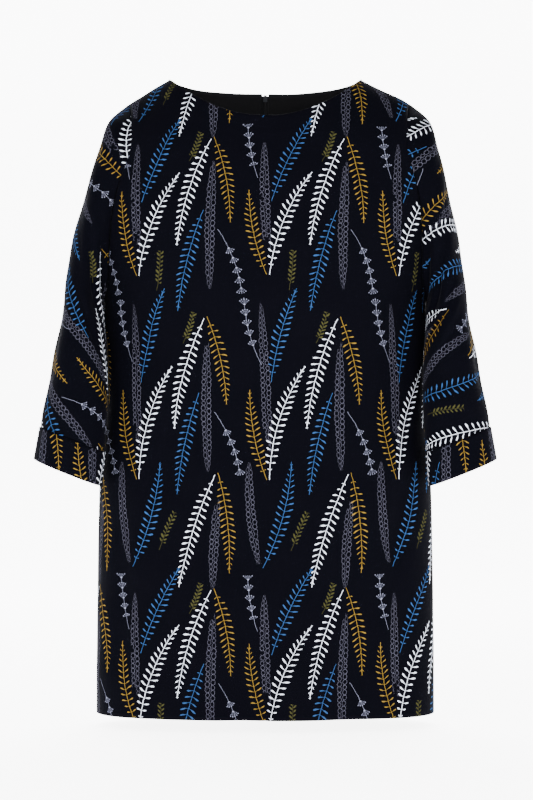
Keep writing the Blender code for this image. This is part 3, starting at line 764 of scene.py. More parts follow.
def crease_share(u, v, crease):
    """How near each place is to a crease's line, from 0 to 1, soft at the sides and at both ends."""
    start = np.array([crease["across"], crease["level"]])
    end = np.array([crease["to_across"], crease["to_level"]])
    length = np.linalg.norm(end - start)
    along_it = (end - start) / length
    du = u - start[0]
    dv = v - start[1]
    t = (du * along_it[0] + dv * along_it[1]) / length
    wander = WANDER * crease["width"] * np.sin(WANDER_WAVES * t + WANDER_PHASE * start[0])
    off = du * along_it[1] - dv * along_it[0] + wander
    ends = smooth_step((t + CREASE_PAST) / CREASE_IN) * smooth_step((1 + CREASE_PAST - t) / CREASE_OUT)
    return ends * np.exp(-((off / crease["width"]) ** 2))


def pressed(points, normals, u, v, rows):
    """The points with creases and slow waves pressed in along their normals."""
    strength = bpy.context.scene.dress_cloth.crease_depth
    depth = np.zeros(u.shape)
    for row in rows:
        crease = dict(zip(CREASE_COLUMNS, row))
        depth = depth + strength * crease["depth"] * crease_share(u, v, crease)
    for wavelength, direction, phase in WAVES:
        place = u * math.cos(direction) + v * math.sin(direction)
        depth = depth + WAVE_HEIGHT * np.sin(2 * math.pi * place / wavelength + phase)
    return points - depth[..., None] * normals


# ---------------------------------------------------------------------------------------------------
# Shells.


def rim(edge, next_in, wall_edge):
    """Points round a finished edge, between the outer and the inner sheet."""
    middle = (edge + wall_edge) / 2
    seam = (np.abs(edge[:, 1]) <= 2 * SEAM_GAP) | (np.abs(edge[:, 0]) < SEAM_REACH)
    bulge = np.where(seam, SEAM_ROUND, FINISHED_ROUND)
    return middle + bulge[:, None] * unit(edge - next_in)


def shell_mesh(name, points, normals, wall, closed):
    """A thin cloth shell with rounded edges. Returns the mesh, and which grid face each of its first faces
    is: the outer sheet comes first, row by row."""
    rows, columns = points.shape[:2]
    inner = points - wall * normals
    spans = columns if closed else columns - 1
    loops = [points.reshape(-1, 3), inner.reshape(-1, 3)]
    index = np.arange(rows * columns).reshape(rows, columns)
    shift = rows * columns
    c = np.arange(spans)
    n = (c + 1) % columns
    r = np.arange(rows - 1)[:, None]
    outer_faces = np.stack([index[r, c], index[r, n], index[r + 1, n], index[r + 1, c]], -1).reshape(-1, 4)
    inner_faces = outer_faces[:, ::-1] + shift
    faces = [outer_faces, inner_faces]
    total = 2 * shift
    edges = [
        (index[0], points[0], points[1], False, closed),
        (index[-1], points[-1], points[-2], True, closed),
    ]
    if not closed:
        edges.append((index[:, 0], points[:, 0], points[:, 1], True, False))
        edges.append((index[:, -1], points[:, -1], points[:, -2], False, False))
    for ids, edge, next_in, turned, ring in edges:
        middle = rim(edge, next_in, inner.reshape(-1, 3)[ids])
        loops.append(middle)
        here = total + np.arange(len(ids))
        total += len(ids)
        a = np.arange(len(ids) if ring else len(ids) - 1)
        b = (a + 1) % len(ids)
        first = np.stack([ids[a], here[a], here[b], ids[b]], -1)
        second = np.stack([here[a], ids[a] + shift, ids[b] + shift, here[b]], -1)
        for quad in (first, second):
            faces.append(quad[:, ::-1] if turned else quad)
    mesh = bpy.data.meshes.new(name)
    mesh.from_pydata(np.concatenate(loops).tolist(), [], np.concatenate(faces).tolist())
    mesh.validate()
    mesh.shade_smooth()
    mesh.update()
    return mesh, outer_faces


def put_uv(mesh, faces, corner_u, corner_v):
    """The cloth's flat place at each corner of the outer sheet, in metres, and the same behind it."""
    layer = mesh.uv_layers.new(name="flat_cloth")
    count = len(faces)
    values = np.zeros((len(mesh.loops), 2))
    outer = np.stack([corner_u, corner_v], -1).reshape(count, 4, 2)
    values[: 4 * count] = outer.reshape(-1, 2)
    values[4 * count : 8 * count] = outer[:, ::-1].reshape(-1, 2)
    layer.data.foreach_set("uv", values.astype(np.float32).ravel())


def put_corners(mesh, name, values):
    """An attribute at the outer sheet's corners. All later corners stay 0."""
    attribute = mesh.attributes.new(name, "FLOAT_VECTOR", "CORNER")
    whole = np.zeros((len(mesh.loops), 3), np.float32)
    whole[: len(values)] = values
    attribute.data.foreach_set("vector", whole.ravel())


# ---------------------------------------------------------------------------------------------------
# The print's places.


def stem_place(u, v, x, y, heading, length, bend):
    """(along, aside) of places, measured along a bent stem that starts at x, y. Millimetres."""
    angle = math.radians(heading)
    forward = (u - x) * math.cos(angle) + (v - y) * math.sin(angle)
    left = (v - y) * math.cos(angle) - (u - x) * math.sin(angle)
    turn = math.radians(bend)
    if abs(turn) < 0.01:
        return forward, left
    hand = math.copysign(1, turn)
    radius = length / abs(turn)
    away = radius - hand * left
    return radius * np.arctan2(forward, away), hand * (radius - np.hypot(forward, away))


def motif_places(u, v):
    """Every motif of the repeat near some places of the cloth, fronds first."""
    found = []
    columns = range(int(math.floor(u.min() / CELL_WIDTH)) - 1, int(math.ceil(u.max() / CELL_WIDTH)) + 2)
    cells = range(int(math.floor(v.min() / CELL_HEIGHT)) - 1, int(math.ceil(v.max() / CELL_HEIGHT)) + 2)
    for group, right, up, turned in GROUPS_PLACED:
        turn = math.radians(turned)
        for row in group:
            motif = dict(zip(MOTIF_COLUMNS, row))
            x = right + motif["x"] * math.cos(turn) - motif["y"] * math.sin(turn)
            y = up + motif["y"] * math.cos(turn) + motif["x"] * math.sin(turn)
            heading = motif["heading"] + turned
            for i in columns:
                for j in cells:
                    found.append(dict(motif, x=x + i * CELL_WIDTH, y=y + j * CELL_HEIGHT, heading=heading))
    return sorted(found, key=lambda motif: KINDS[motif["kind"]])


def lay_print(mesh, faces, name, corner_u, corner_v):
    """Gives each face of the outer sheet its place along up to two motifs, their kinds and their inks."""
    top, right, up = LAY[name]
    turn = math.radians(top - 90)
    u = 1000 * (corner_u * math.cos(turn) + corner_v * math.sin(turn)) + right
    v = 1000 * (corner_v * math.cos(turn) - corner_u * math.sin(turn)) + up
    u = u.reshape(-1, 4)
    v = v.reshape(-1, 4)
    middle_u = u.mean(axis=1)
    middle_v = v.mean(axis=1)
    margin = 0.5 * np.hypot(np.ptp(u, axis=1), np.ptp(v, axis=1)) + INK_MARGIN
    taken = np.zeros(len(faces), int)
    layers = {layer: np.zeros((2, len(faces), 4, 3)) for layer in ("place", "ink", "kind")}
    colours = bpy.context.scene.dress_colours
    for motif in motif_places(u, v):
        size = motif["size"]
        bent = [motif[key] for key in ("x", "y", "heading", "length", "bend")]
        reach = max(motif["length"], LEAST_LENGTH) + LENGTH_MARGIN
        close = (np.abs(middle_u - motif["x"]) < reach) & (np.abs(middle_v - motif["y"]) < reach)
        near = np.flatnonzero(close & (taken < 2))
        if not len(near):
            continue
        run, aside = stem_place(middle_u[near], middle_v[near], *bent)
        wide = REACH[motif["kind"]] * size + margin[near]
        beyond = motif["length"] + TIP_MARGIN + margin[near]
        near = near[(np.abs(aside) < wide) & (run > -margin[near]) & (run < beyond)]
        run, aside = stem_place(u[near], v[near], *bent)
        length = np.full(run.shape, motif["length"] / size)
        slot = taken[near]
        layers["place"][slot, near] = np.stack([run / size, aside / size, length], -1)
        layers["ink"][slot, near] = np.array(getattr(colours, motif["ink"]))
        layers["kind"][slot, near] = (KINDS[motif["kind"]], LEAFLET.get(motif["ink"], 0), 0)
        taken[near] += 1
    for slot, letter in enumerate("ab"):
        for layer, values in layers.items():
            put_corners(mesh, f"{layer}_{letter}", values[slot].reshape(-1, 3))


# ---------------------------------------------------------------------------------------------------
# Materials.


def add_node(tree, kind, settings=None, links=None):
    """Adds a node with its settings, and its links or values by input name or number."""
    node = tree.nodes.new(kind)
    for name, value in (settings or {}).items():
        setattr(node, name, value)
    for key, value in (links or {}).items():
        value = getattr(value, "socket", value)
        if isinstance(value, bpy.types.NodeSocket):
            tree.links.new(value, node.inputs[key])
        else:
            node.inputs[key].default_value = value
    return node


class Number:
    """A number in a material. What is worked out with it becomes nodes."""

    def __init__(self, tree, socket):
        self.tree = tree
        self.socket = socket

    def through(self, kind, settings, links):
        return Number(self.tree, add_node(self.tree, kind, settings, links).outputs[0])

    def maths(self, operation, *others):
        return self.through("ShaderNodeMath", {"operation": operation}, dict(enumerate((self, *others))))

    def __add__(self, other):
        return self.maths("ADD", other)

    def __sub__(self, other):
        return self.maths("SUBTRACT", other)

    def __mul__(self, other):
        return self.maths("MULTIPLY", other)

    def __truediv__(self, other):
        return self.maths("DIVIDE", other)

    def __gt__(self, other):
        return self.maths("GREATER_THAN", other)

    def __lt__(self, other):
        return self.maths("LESS_THAN", other)

    def __abs__(self):
        return self.maths("ABSOLUTE")

    def scaled(self, factor, more):
        return self.maths("MULTIPLY_ADD", factor, more)

    def least(self, other):
        return self.maths("MAXIMUM", other)

    def most(self, other):
        return self.maths("MINIMUM", other)

    def whole(self):
        return self.maths("FLOOR")

    def fraction(self):
        return self.maths("FRACT")

    def oval(self, other):
        """The length of a vector of two: 1 on the edge of an oval whose half sizes divide them."""
        return (self * self + other * other).maths("SQRT")

    def waves(self, pitch):
        """Even waves along a place, from -1 to 1."""
        return (self * (2 * math.pi / pitch)).maths("SINE")

    def chance(self):
        """A random share, the same each time for one number."""
        return self.through("ShaderNodeTexWhiteNoise", {"noise_dimensions": "1D"}, {"W": self})

    def ranged(self, old, new, interpolation="LINEAR"):
        """Brought from one range to another."""
        ends = {"From Min": old[0], "From Max": old[1], "To Min": new[0], "To Max": new[1]}
        settings = {"interpolation_type": interpolation}
        return self.through("ShaderNodeMapRange", settings, {"Value": self, **ends})

    def below(self, edge, blur):
        """1 where it is under an edge and 0 over it, over a short blur."""
        return self.ranged((edge - blur, edge + blur), (1.0, 0.0), "SMOOTHSTEP")

    def curve(self, points):
        """The height of a drawn curve through some points."""
        node = add_node(self.tree, "ShaderNodeFloatCurve", None, {"Value": self})
        curve = node.mapping.curves[0]
        for x, y in points[1:-1]:
            curve.points.new(x, y)
        curve.points[0].location = points[0]
        curve.points[-1].location = points[-1]
        node.mapping.update()
        return Number(self.tree, node.outputs[0])


def parts(tree, vector, kind="ShaderNodeSeparateXYZ"):
    """The three numbers of a vector or a colour."""
    return [Number(tree, output) for output in add_node(tree, kind, None, {0: vector}).outputs]


def given(tree, name):
    """A named attribute of the mesh, as a vector."""
    return add_node(tree, "ShaderNodeAttribute", {"attribute_name": name}).outputs["Vector"]


def flat_place(tree):
    """The place on the flat cloth, in metres."""
    return add_node(tree, "ShaderNodeUVMap", {"uv_map": "flat_cloth"}).outputs["UV"]


def noise(tree, at, scale, detail, output="Fac"):
    """Fine noise at a place of the flat cloth, or at the object's own where there is none."""
    settings = {"noise_dimensions": "2D" if at else "3D"}
    at = at or add_node(tree, "ShaderNodeTexCoord").outputs["Object"]
    inputs = {"Vector": at, "Scale": scale, "Detail": detail}
    return Number(tree, add_node(tree, "ShaderNodeTexNoise", settings, inputs).outputs[output])


def toned(tree, shader, share, low, high):
    """Lets the shader's colour run between two tones."""
    ramp = add_node(tree, "ShaderNodeValToRGB", None, {0: share})
    for element, code in zip(ramp.color_ramp.elements, (low, high)):
        element.color = (*linear(code), 1)
    tree.links.new(ramp.outputs["Color"], shader.inputs["Base Color"])


def bumped(tree, shader, height, strength, distance):
    """Gives the shader a fine relief."""
    inputs = {"Height": height, "Strength": strength, "Distance": distance}
    bump = add_node(tree, "ShaderNodeBump", None, inputs)
    tree.links.new(bump.outputs["Normal"], shader.inputs["Normal"])


def new_material(name, finish):
    """A material of one shader, with plain values for some of its inputs."""
    material = bpy.data.materials.new(name)
    material.use_nodes = True
    tree = material.node_tree
    tree.nodes.clear()
    shader = add_node(tree, "ShaderNodeBsdfPrincipled", None, finish)
    add_node(tree, "ShaderNodeOutputMaterial", None, {"Surface": shader.outputs["BSDF"]})
    return material, tree, shader


def frond_mask(run, share, away, aside, length, thick):
    """Pairs of paddle-shaped leaflets that lean towards the tip and grow smaller and closer to it."""
    rooted = run - away * (share * share).scaled(FROND_LEAN[1], FROND_LEAN[0])
    rooted_share = (rooted / length).least(0.0)
    phase = rooted * rooted_share.scaled(FROND_CLOSING, FROND_RATE)
    rate = rooted_share.scaled(2 * FROND_CLOSING, FROND_RATE)
    step = abs((phase.fraction() - 0.5) * (Number(rate.tree, 1.0) / rate))
    luck = (phase.whole() * 2.0 + (aside > 0.0) + length).chance()
    reach = rooted_share.curve(FROND_OUTLINE) * luck.scaled(FROND_REACH[1], FROND_REACH[0])
    outwards = away / reach.least(0.1)
    half = outwards.curve(LEAFLET_OUTLINE) * thick * reach.scaled(0.055, 0.42).most(1.0)
    leaflets = (step - half).below(0.0, 0.22) * (outwards < 1.0) * (reach > 1.0)
    from_tip = (run - (length - TIP_LENGTH)) / 4.2
    tip = from_tip.oval(away / (thick * 0.75)).below(1.0, 0.2)
    return leaflets.least(away.below(STEM["frond"], 0.20).least(tip))


def chain_mask(run, share, away, aside, length):
    """Two columns of small drawn loops, each a little different, closing up at both ends."""
    spread = share.curve(CHAIN_OUTLINE).least(0.05)
    hand = aside > 0.0
    place = hand.scaled(CHAIN_LAG, run / CHAIN_PITCH)
    number = place.whole().scaled(2.0, hand)
    size = (number + length).chance().scaled(CHAIN_RADIUS[1], CHAIN_RADIUS[0])
    shift = (number + length + 0.37).chance().scaled(CHAIN_STRAY, -CHAIN_STRAY / 2)
    step = (place.fraction() - 0.5) * CHAIN_PITCH + shift * 0.5
    out = away / spread - shift.scaled(0.6, CHAIN_COLUMN)
    return abs((step * 0.85).oval(out) - size).below(CHAIN_LINE, 0.22)


def flower_mask(run, share, away, aside):
    """Small open fans of rays, one above another on a bare stem, each with a bright cup."""
    head = (run / FAN_PITCH).fraction() * FAN_PITCH
    radius = head.oval(aside)
    angle = aside.maths("ARCTAN2", head.least(0.05))
    reach = share.scaled(FAN_REACH[1], FAN_REACH[0])
    inside = (abs(angle) < FAN_ANGLE) * (radius < reach + 0.9)
    off_ray = abs(angle.scaled(FAN_RAYS, 0.5).fraction() - 0.5) * FAN_RAY_TURN * radius
    rays = off_ray.below(0.16, 0.16) * 0.6
    dots = off_ray.oval(radius - reach).below(0.75, 0.3) * 0.8
    arc = abs(radius - reach * FAN_ARC).below(0.14, 0.16) * 0.5
    fan = inside * rays.least(dots).least(arc.least(radius.below(FAN_CUP, 0.5)))
    return (fan * (share > FAN_BARE)).least(away.below(STEM["flower"], 0.22) * 0.7)


def sprig_mask(run, share, away, aside, length):
    """Small uneven leaves on both sides of a thin stem, close together."""
    hand = aside > 0.0
    place = hand.scaled(SPRIG_LAG, (run - away * SPRIG_LEAN) / SPRIG_PITCH)
    number = place.whole().scaled(2.0, hand)
    size = (number + length + 0.71).chance().scaled(SPRIG_SIZE[1], SPRIG_SIZE[0])
    step = (place.fraction() - 0.5) * SPRIG_PITCH
    off = (step / SPRIG_LEAF[0]).oval((away - SPRIG_OUT) / SPRIG_LEAF[1])
    leaf = (off / size).below(1.0, 0.25) * (share > SPRIG_BARE)
    return leaf.least(away.below(STEM["sprig"], 0.25) * 0.8)


def motif_mask(tree, letter, wobble):
    """How much ink one layer of motifs lays down at a place, from its run along and aside of the stem."""
    run, aside, length = parts(tree, given(tree, "place_" + letter))
    run = run + wobble[0]
    aside = aside + wobble[1]
    length = length.least(1.0)
    share = run / length
    away = abs(aside)
    kind, thick = parts(tree, given(tree, "kind_" + letter))[:2]
    masks = (
        frond_mask(run, share, away, aside, length, thick),
        chain_mask(run, share, away, aside, length),
        flower_mask(run, share, away, aside),
        sprig_mask(run, share, away, aside, length),
    )
    total = 0.0
    for number, mask in enumerate(masks, 1):
        total = kind.maths("COMPARE", float(number), 0.25).scaled(mask, total)
    return total * ((run > 0.0) * (share < 1.03))


def printed_cloth():
    """Ribbed cotton sateen, dyed blue-black, screen printed and brushed: matt, with a pale fuzz where it
    turns away from the eye, and fine cords that only just show."""
    scene = bpy.context.scene
    finish = {
        "Roughness": 0.88,
        "IOR": 1.46,
        "Specular IOR Level": 0.01,
        "Sheen Weight": 0.008,
        "Sheen Roughness": 0.42,
        "Sheen Tint": (*linear("c9cbdc"), 1),
    }
    material, tree, shader = new_material("printed cotton sateen", finish)
    flat = flat_place(tree)
    # The hand-drawn unevenness of the motifs' edges, about half a millimetre over 6 mm.
    drift = parts(tree, noise(tree, flat, 160.0, 1.0, "Color"), "ShaderNodeSeparateColor")
    wobble = [(part - 0.5) * 1.5 for part in drift[:2]]
    # Ink sinks in unevenly between the cords.
    fibre = noise(tree, flat, 900.0, 2.0)
    worn = fibre.ranged((0.3, 0.7), (0.78, 1.0))
    ground_tone = fibre.ranged((0.25, 0.75), (0.75, 1.3))
    blend = {"data_type": "RGBA", "blend_type": "MULTIPLY"}
    ground = {0: 1.0, 6: (*scene.dress_colours.ground, 1.0), 7: ground_tone}
    colour = add_node(tree, "ShaderNodeMix", blend, ground).outputs[2]
    for letter in "ab":
        inked = {0: motif_mask(tree, letter, wobble) * worn, 6: colour, 7: given(tree, "ink_" + letter)}
        colour = add_node(tree, "ShaderNodeMix", {"data_type": "RGBA"}, inked).outputs[2]
    tree.links.new(colour, shader.inputs["Base Color"])
    # Cords run down the cloth, as fine as the picture can show.
    cords = parts(tree, flat)[0].waves(scene.dress_cloth.cord_pitch)
    nap = fibre.scaled(1.2, cords * 0.5)
    bumped(tree, shader, nap, 0.5, scene.dress_cloth.cord_height)
    return material


def cloth_back():
    """The wrong side of the same cloth: dyed blue-black, plain weave, matt."""
    finish = {"Roughness": 0.92, "Specular IOR Level": 0.10, "Sheen Weight": 0.02}
    material, tree, shader = new_material("dyed cotton wrong side", finish)
    fibre = noise(tree, flat_place(tree), 700.0, 2.0)
    toned(tree, shader, fibre, "030306", "07070b")
    bumped(tree, shader, fibre, 0.4, 0.0002)
    return material


def facing_cloth():
    """Plain black cotton lawn: a fine even weave, smooth and matt."""
    finish = {"Roughness": 0.85, "Specular IOR Level": 0.12, "Sheen Weight": 0.02}
    material, tree, shader = new_material("black cotton lawn", finish)
    across, up, _ = parts(tree, flat_place(tree))
    # Threads 0.8 mm apart, drawn twice as coarse as the real ones.
    weave = across.waves(0.0008) * up.waves(0.0008)
    toned(tree, shader, weave.scaled(0.5, 0.5), "030305", "070709")
    bumped(tree, shader, weave, 0.3, 0.0001)
    return material


def zip_tape_cloth():
    """Woven polyester tape: a tight rib along it, slightly shiny."""
    finish = {"Roughness": 0.8, "Specular IOR Level": 0.15}
    material, tree, shader = new_material("woven polyester tape", finish)
    ribs = parts(tree, flat_place(tree))[0].waves(0.0011)
    toned(tree, shader, ribs.scaled(0.5, 0.5), "040406", "0a0a0d")
    bumped(tree, shader, ribs, 0.4, 0.00012)
    return material


def coil_nylon():
    """Extruded nylon coil, black: smooth, with a soft shine."""
    finish = {"Roughness": 0.48, "Specular IOR Level": 0.25}
    material, tree, shader = new_material("extruded nylon coil", finish)
    toned(tree, shader, noise(tree, None, 1800.0, 1.0), "050507", "0b0b0e")
    return material


def plated_zinc():
    """Die-cast zinc with a dark nickel plate, tumbled: grey, softly shiny, with faint handling marks."""
    material, tree, shader = new_material("tumbled gunmetal plate", {"Metallic": 1.0})
    marks = noise(tree, None, 2600.0, 3.0)
    toned(tree, shader, marks, "2a2b30", "46474c")
    tree.links.new(marks.ranged((0.0, 1.0), (0.40, 0.60)).socket, shader.inputs["Roughness"])
    return material


def studio_paper():
    """Matt white background paper, a translucent sweep lit evenly from behind, so it stays near white."""
    finish = {
        "Roughness": 0.9,
        "Specular IOR Level": 0.1,
        "Emission Color": (1, 1, 1, 1),
        "Emission Strength": bpy.context.scene.dress_studio.glow,
    }
    material, tree, shader = new_material("matt background paper", finish)
    toned(tree, shader, noise(tree, None, 3.0, 1.0), "f4f4f5", "f8f8f9")
    return material


def shared(maker):
    """One material from each maker, made when it is first wanted."""
    if maker.__name__ not in made_materials:
        made_materials[maker.__name__] = maker()
    return made_materials[maker.__name__]


made_materials = {}
# The cloths of the outer sheet, and of the rest of the shell, by the slot they fill.
CLOTHS = {
    "printed_cloth": (printed_cloth, cloth_back),
    "plain_cloth": (facing_cloth, facing_cloth),
    "zip_tape": (zip_tape_cloth, zip_tape_cloth),
}


# ---------------------------------------------------------------------------------------------------
# Pieces.


def add_piece(name, mesh, materials):
    piece = bpy.data.objects.new(name, mesh)
    bpy.context.scene.collection.objects.link(piece)
    for material in materials:
        mesh.materials.append(material)
    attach(piece, "dress")
    return piece


def add_shell(name, points, wall, corner_u, corner_v, node, slot="printed_cloth", closed=False):
    """A cloth shell with its flat places, standing for a node of the solids."""
    mesh, faces = shell_mesh(name, points, outward(points, closed), wall, closed)
    put_uv(mesh, faces, corner_u, corner_v)
    count = len(faces)
    index = np.zeros(len(mesh.polygons), np.int32)
    index[count : 2 * count] = 1
    mesh.polygons.foreach_set("material_index", index)
    if name in LAY:
        lay_print(mesh, faces, name, corner_u, corner_v)
    piece = add_piece(name, mesh, [shared(maker) for maker in CLOTHS[slot]])
    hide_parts(node)
    u = corner_u.reshape(-1, 4)
    v = corner_v.reshape(-1, 4)
    twice = (u[:, 2] - u[:, 0]) * (v[:, 3] - v[:, 1]) - (u[:, 3] - u[:, 1]) * (v[:, 2] - v[:, 0])


def corners(values):
    """A grid's values at its faces' four corners, in the faces' own order."""
    return np.stack([values[:-1, :-1], values[:-1, 1:], values[1:, 1:], values[1:, :-1]], -1).reshape(-1)


def panel_grid(side, hand):
    """Half a panel with its creases: its points placed, and its flat places."""
    plain = half_panel(side, hand)
    across = flat_across(side, hand, plain)
    up = flat_up(side, hand, plain)
    points = lean(plain * (hand, 1, 1))
    facing = side_value(side, "facing")
    # From outside, the columns run from the centre to the side to the right where hand * facing < 0.
    normals = outward(points) * -hand * facing
    to_side = smooth_step((PANEL_COLUMNS - np.arange(PANEL_COLUMNS + 1)) / SIDE_FADE_COLUMNS)
    edge = (np.minimum(np.abs(plain[..., 1]) / THIN_FADE, 1) * to_side)[..., None]
    below = neck_level(side, plain[..., 0]) - plain[..., 2] - NECK_RIDGE_DROP
    ridge = np.exp(-((below / NECK_RIDGE_WIDTH) ** 2)) * (plain[..., 0] < NECK_HALF_WIDTH)
    creases = BODY_CREASES[side]
    points = pressed(points, normals * edge, hand * plain[..., 0], plain[..., 2], creases)
    points = points + NECK_RIDGE_HEIGHT * ridge[..., None] * edge * normals
    # It is let in along its seams, at the side, the armhole and the shoulder.
    dip = np.zeros(across.shape + (1,))
    dip[:, -1] = SEAM_DIP
    dip[-1, NECK_COLUMNS:] = SEAM_DIP
    return points - dip * normals, hand * across * -facing, up


def add_front():
    halves = panel_grid("front", -1), panel_grid("front", 1)
    points, u, v = (np.concatenate([right[:, :0:-1], left], axis=1) for right, left in zip(*halves))
    add_shell("front_cloth", points, CLOTH_WALL, corners(u), corners(v), "front_panel")


def add_back(side, hand):
    points, u, v = (grid[:, ::-hand] for grid in panel_grid("back", hand))
    add_shell(f"back_cloth_{side}", points, CLOTH_WALL, corners(u), corners(v), f"back_panel_{side}")


def drawn(flat, sheet):
    """The flat places once every stretch between neighbours has drawn itself to its true length."""
    every, first, last = slice(None), slice(None, -1), slice(1, None)
    links = (((first, every), (last, every)), ((every, first), (every, last)))
    links += (((first, first), (last, last)), ((first, last), (last, first)))
    lengths = [np.linalg.norm(sheet[b] - sheet[a], axis=-1, keepdims=True) for a, b in links]
    ties = np.zeros(flat.shape[:2] + (1,))
    for a, b in links:
        ties[a] += 1
        ties[b] += 1
    for _ in range(EASE_STEPS):
        pull = np.zeros(flat.shape)
        for (a, b), length in zip(links, lengths):
            way = flat[b] - flat[a]
            short = np.maximum(np.linalg.norm(way, axis=-1, keepdims=True), 1e-9)
            move = 0.5 * (1 - length / short) * way
            pull[a] += move
            pull[b] -= move
        flat = flat + pull / ties
    return flat


def filled(coarse, skip):
    """A coarse grid of places with the places between them put in along straight lines."""
    for axis, shape in ((0, (-1, 1, 1)), (1, (1, -1, 1))):
        count = coarse.shape[axis] - 1
        at = np.arange(count * skip + 1) / skip
        low = np.minimum(at.astype(int), count - 1)
        share = (at - low).reshape(shape)
        coarse = np.take(coarse, low, axis) * (1 - share) + np.take(coarse, low + 1, axis) * share
    return coarse


def tube_flat(points):
    """(aside, up) of a tube's corners, measured on the cloth, which opens at the inner line, the underarm
    seam. The tube is unrolled as if it were straight, and then eased, coarsely at first."""
    half = points.shape[1] // 2
    sheet = points[:, np.arange(-half, half + 1)]
    axis = unit(points[0].mean(axis=0) - points[-1].mean(axis=0))
    up = sheet @ axis
    round_step = np.diff(sheet, axis=1)
    round_step = round_step - (round_step @ axis)[..., None] * axis
    aside = np.zeros(up.shape)
    aside[:, 1:] = np.cumsum(np.linalg.norm(round_step, axis=-1), axis=1)
    flat = np.stack([aside - aside[:, half : half + 1], up], axis=-1)
    for skip in EASE_SKIPS:
        if not any((count - 1) % skip for count in up.shape):
            some = flat[::skip, ::skip]
            flat = flat + filled(drawn(some, sheet[::skip, ::skip]) - some, skip)
    corner_sets = []
    for k, base in ((0, 0), (1, flat[..., 1].min())):
        near = corners(flat[:, half:, k]).reshape(len(points) - 1, -1, 4)
        far = corners(flat[:, : half + 1, k]).reshape(len(points) - 1, -1, 4)
        corner_sets.append(np.concatenate([near, far], axis=1).reshape(-1, 4) - base)
    return corner_sets


def creased_sleeve(sleeve, hand, places):
    """A sleeve with its creases, let in at both ends."""
    normals = outward(sleeve, True)
    turn = 360 * np.arange(SLEEVE_COLUMNS) / SLEEVE_COLUMNS
    round_run = np.where(turn > TURN_LIMIT, turn - 360, turn)[None, :] * DEGREE_RUN + 0 * places[:, None]
    down = places[:, None] + 0 * round_run
    rows = [(a * DEGREE_RUN, b, c * DEGREE_RUN, *rest) for a, b, c, *rest in SLEEVE_CREASES[hand]]
    fade = smooth_step(places / ARMHOLE_FADE) * smooth_step((places[-1] - places) / CUFF_FADE)
    fade = fade[:, None] * (1 - np.exp(-(((turn - 180) / UNDERARM_FADE) ** 2)))
    sleeve = pressed(sleeve, normals * fade[..., None], round_run, down, rows)
    level = sleeve[..., 2]
    rest = smooth_step((REST_TOP - level) / REST_TOP_FADE)
    rest = rest * smooth_step((level - REST_BOTTOM) / REST_BOTTOM_FADE)
    rest = rest * np.exp(-(((np.abs(turn - 180) - REST_TURN) / REST_TURN_SPREAD) ** 2))
    sleeve = sleeve + REST_PUSH * rest[..., None] * normals
    sleeve[[0, -1]] -= SEAM_DIP * normals[[0, -1]]
    return sleeve


def add_sleeve(side, hand):
    """A sleeve and its cuff, from the armhole down."""
    run = sleeve_rings(hand, SLEEVE_COLUMNS)[1]
    cuff_seam = run[1 + CUFF_SEAM_RING]
    places = np.linspace(0, cuff_seam - SEAM_GAP, SLEEVE_ROWS + 1)
    sleeve = tube(hand, places)
    sleeve[0] += SLEEVE_GAP * unit(sleeve[1] - sleeve[0])
    cuff = tube(hand, np.linspace(cuff_seam + SEAM_GAP, run[-1], CUFF_ROWS + 1))
    cuff += CUFF_STEP * unit(cuff - cuff.mean(axis=1, keepdims=True))
    for part, plain, points, wall in (
        ("sleeve", sleeve, creased_sleeve(sleeve, hand, places), CLOTH_WALL),
        ("cuff", cuff, cuff, CUFF_WALL),
    ):
        u, v = tube_flat(plain)
        # On the wearer's left the grid runs down and to the left from outside, which is one turn of it.
        if hand == 1:
            u = -u
        else:
            points = points[::-1] * (-1, 1, 1)
            u, v = (values.reshape(len(points) - 1, -1, 4)[::-1, :, ::-1] for values in (u, v))
        name = f"{part}_cloth_{side}"
        flat = u.reshape(-1), v.reshape(-1)
        add_shell(name, lean(points), wall, *flat, f"{part}_{side}", closed=True)


def back_side(side, hand):
    """A back panel's points, from the centre to the side, and its outward normals."""
    points = panel_grid("back", hand)[0]
    return points, -hand * outward(points)


def behind(back, rows, columns, depth):
    """Points behind the back's outer face, at places counted in its own rows and columns."""
    points, normals = back
    return pick_points(points, rows, columns) - depth[..., None] * unit(pick_points(normals, rows, columns))


def pick_points(sheet, rows, columns):
    return np.stack([pick(sheet[..., k], rows, columns) for k in range(3)], axis=-1)


def column_at(back, rows, across):
    """Where a distance from the centre line lies, counted in the panel's columns, on some rows."""
    nearest = np.abs(back[0][np.round(rows).astype(int), :NEAR_COLUMNS, 0])
    return np.array([np.interp(across, line, np.arange(NEAR_COLUMNS)) for line in nearest])


def grid_flat(points):
    """How far across and up each point of a small piece lies, measured along it."""
    aside = np.cumsum(np.linalg.norm(np.diff(points, axis=1), axis=2), axis=1)
    up = np.cumsum(np.linalg.norm(np.diff(points, axis=0), axis=2), axis=0)
    aside = np.concatenate([np.zeros((points.shape[0], 1)), aside], axis=1)
    return aside, np.concatenate([np.zeros((1, points.shape[1])), up])


def add_inner_piece(name, back, rows, columns, depth, hand, wall, node, slot, across=None):
    """A piece on the inside of the back, at some rows and columns of it, from the centre to the side."""
    points = behind(back, rows[:, None] + 0 * columns, columns, depth)
    if across is not None:
        points[..., 0] = hand * across
    points[:, -1, 1] = np.maximum(points[:, -1, 1], SEAM_GAP / 2)
    points = points[:, ::-hand]
    u, v = grid_flat(points)
    add_shell(name, points, wall, corners(u), corners(v), node, slot)


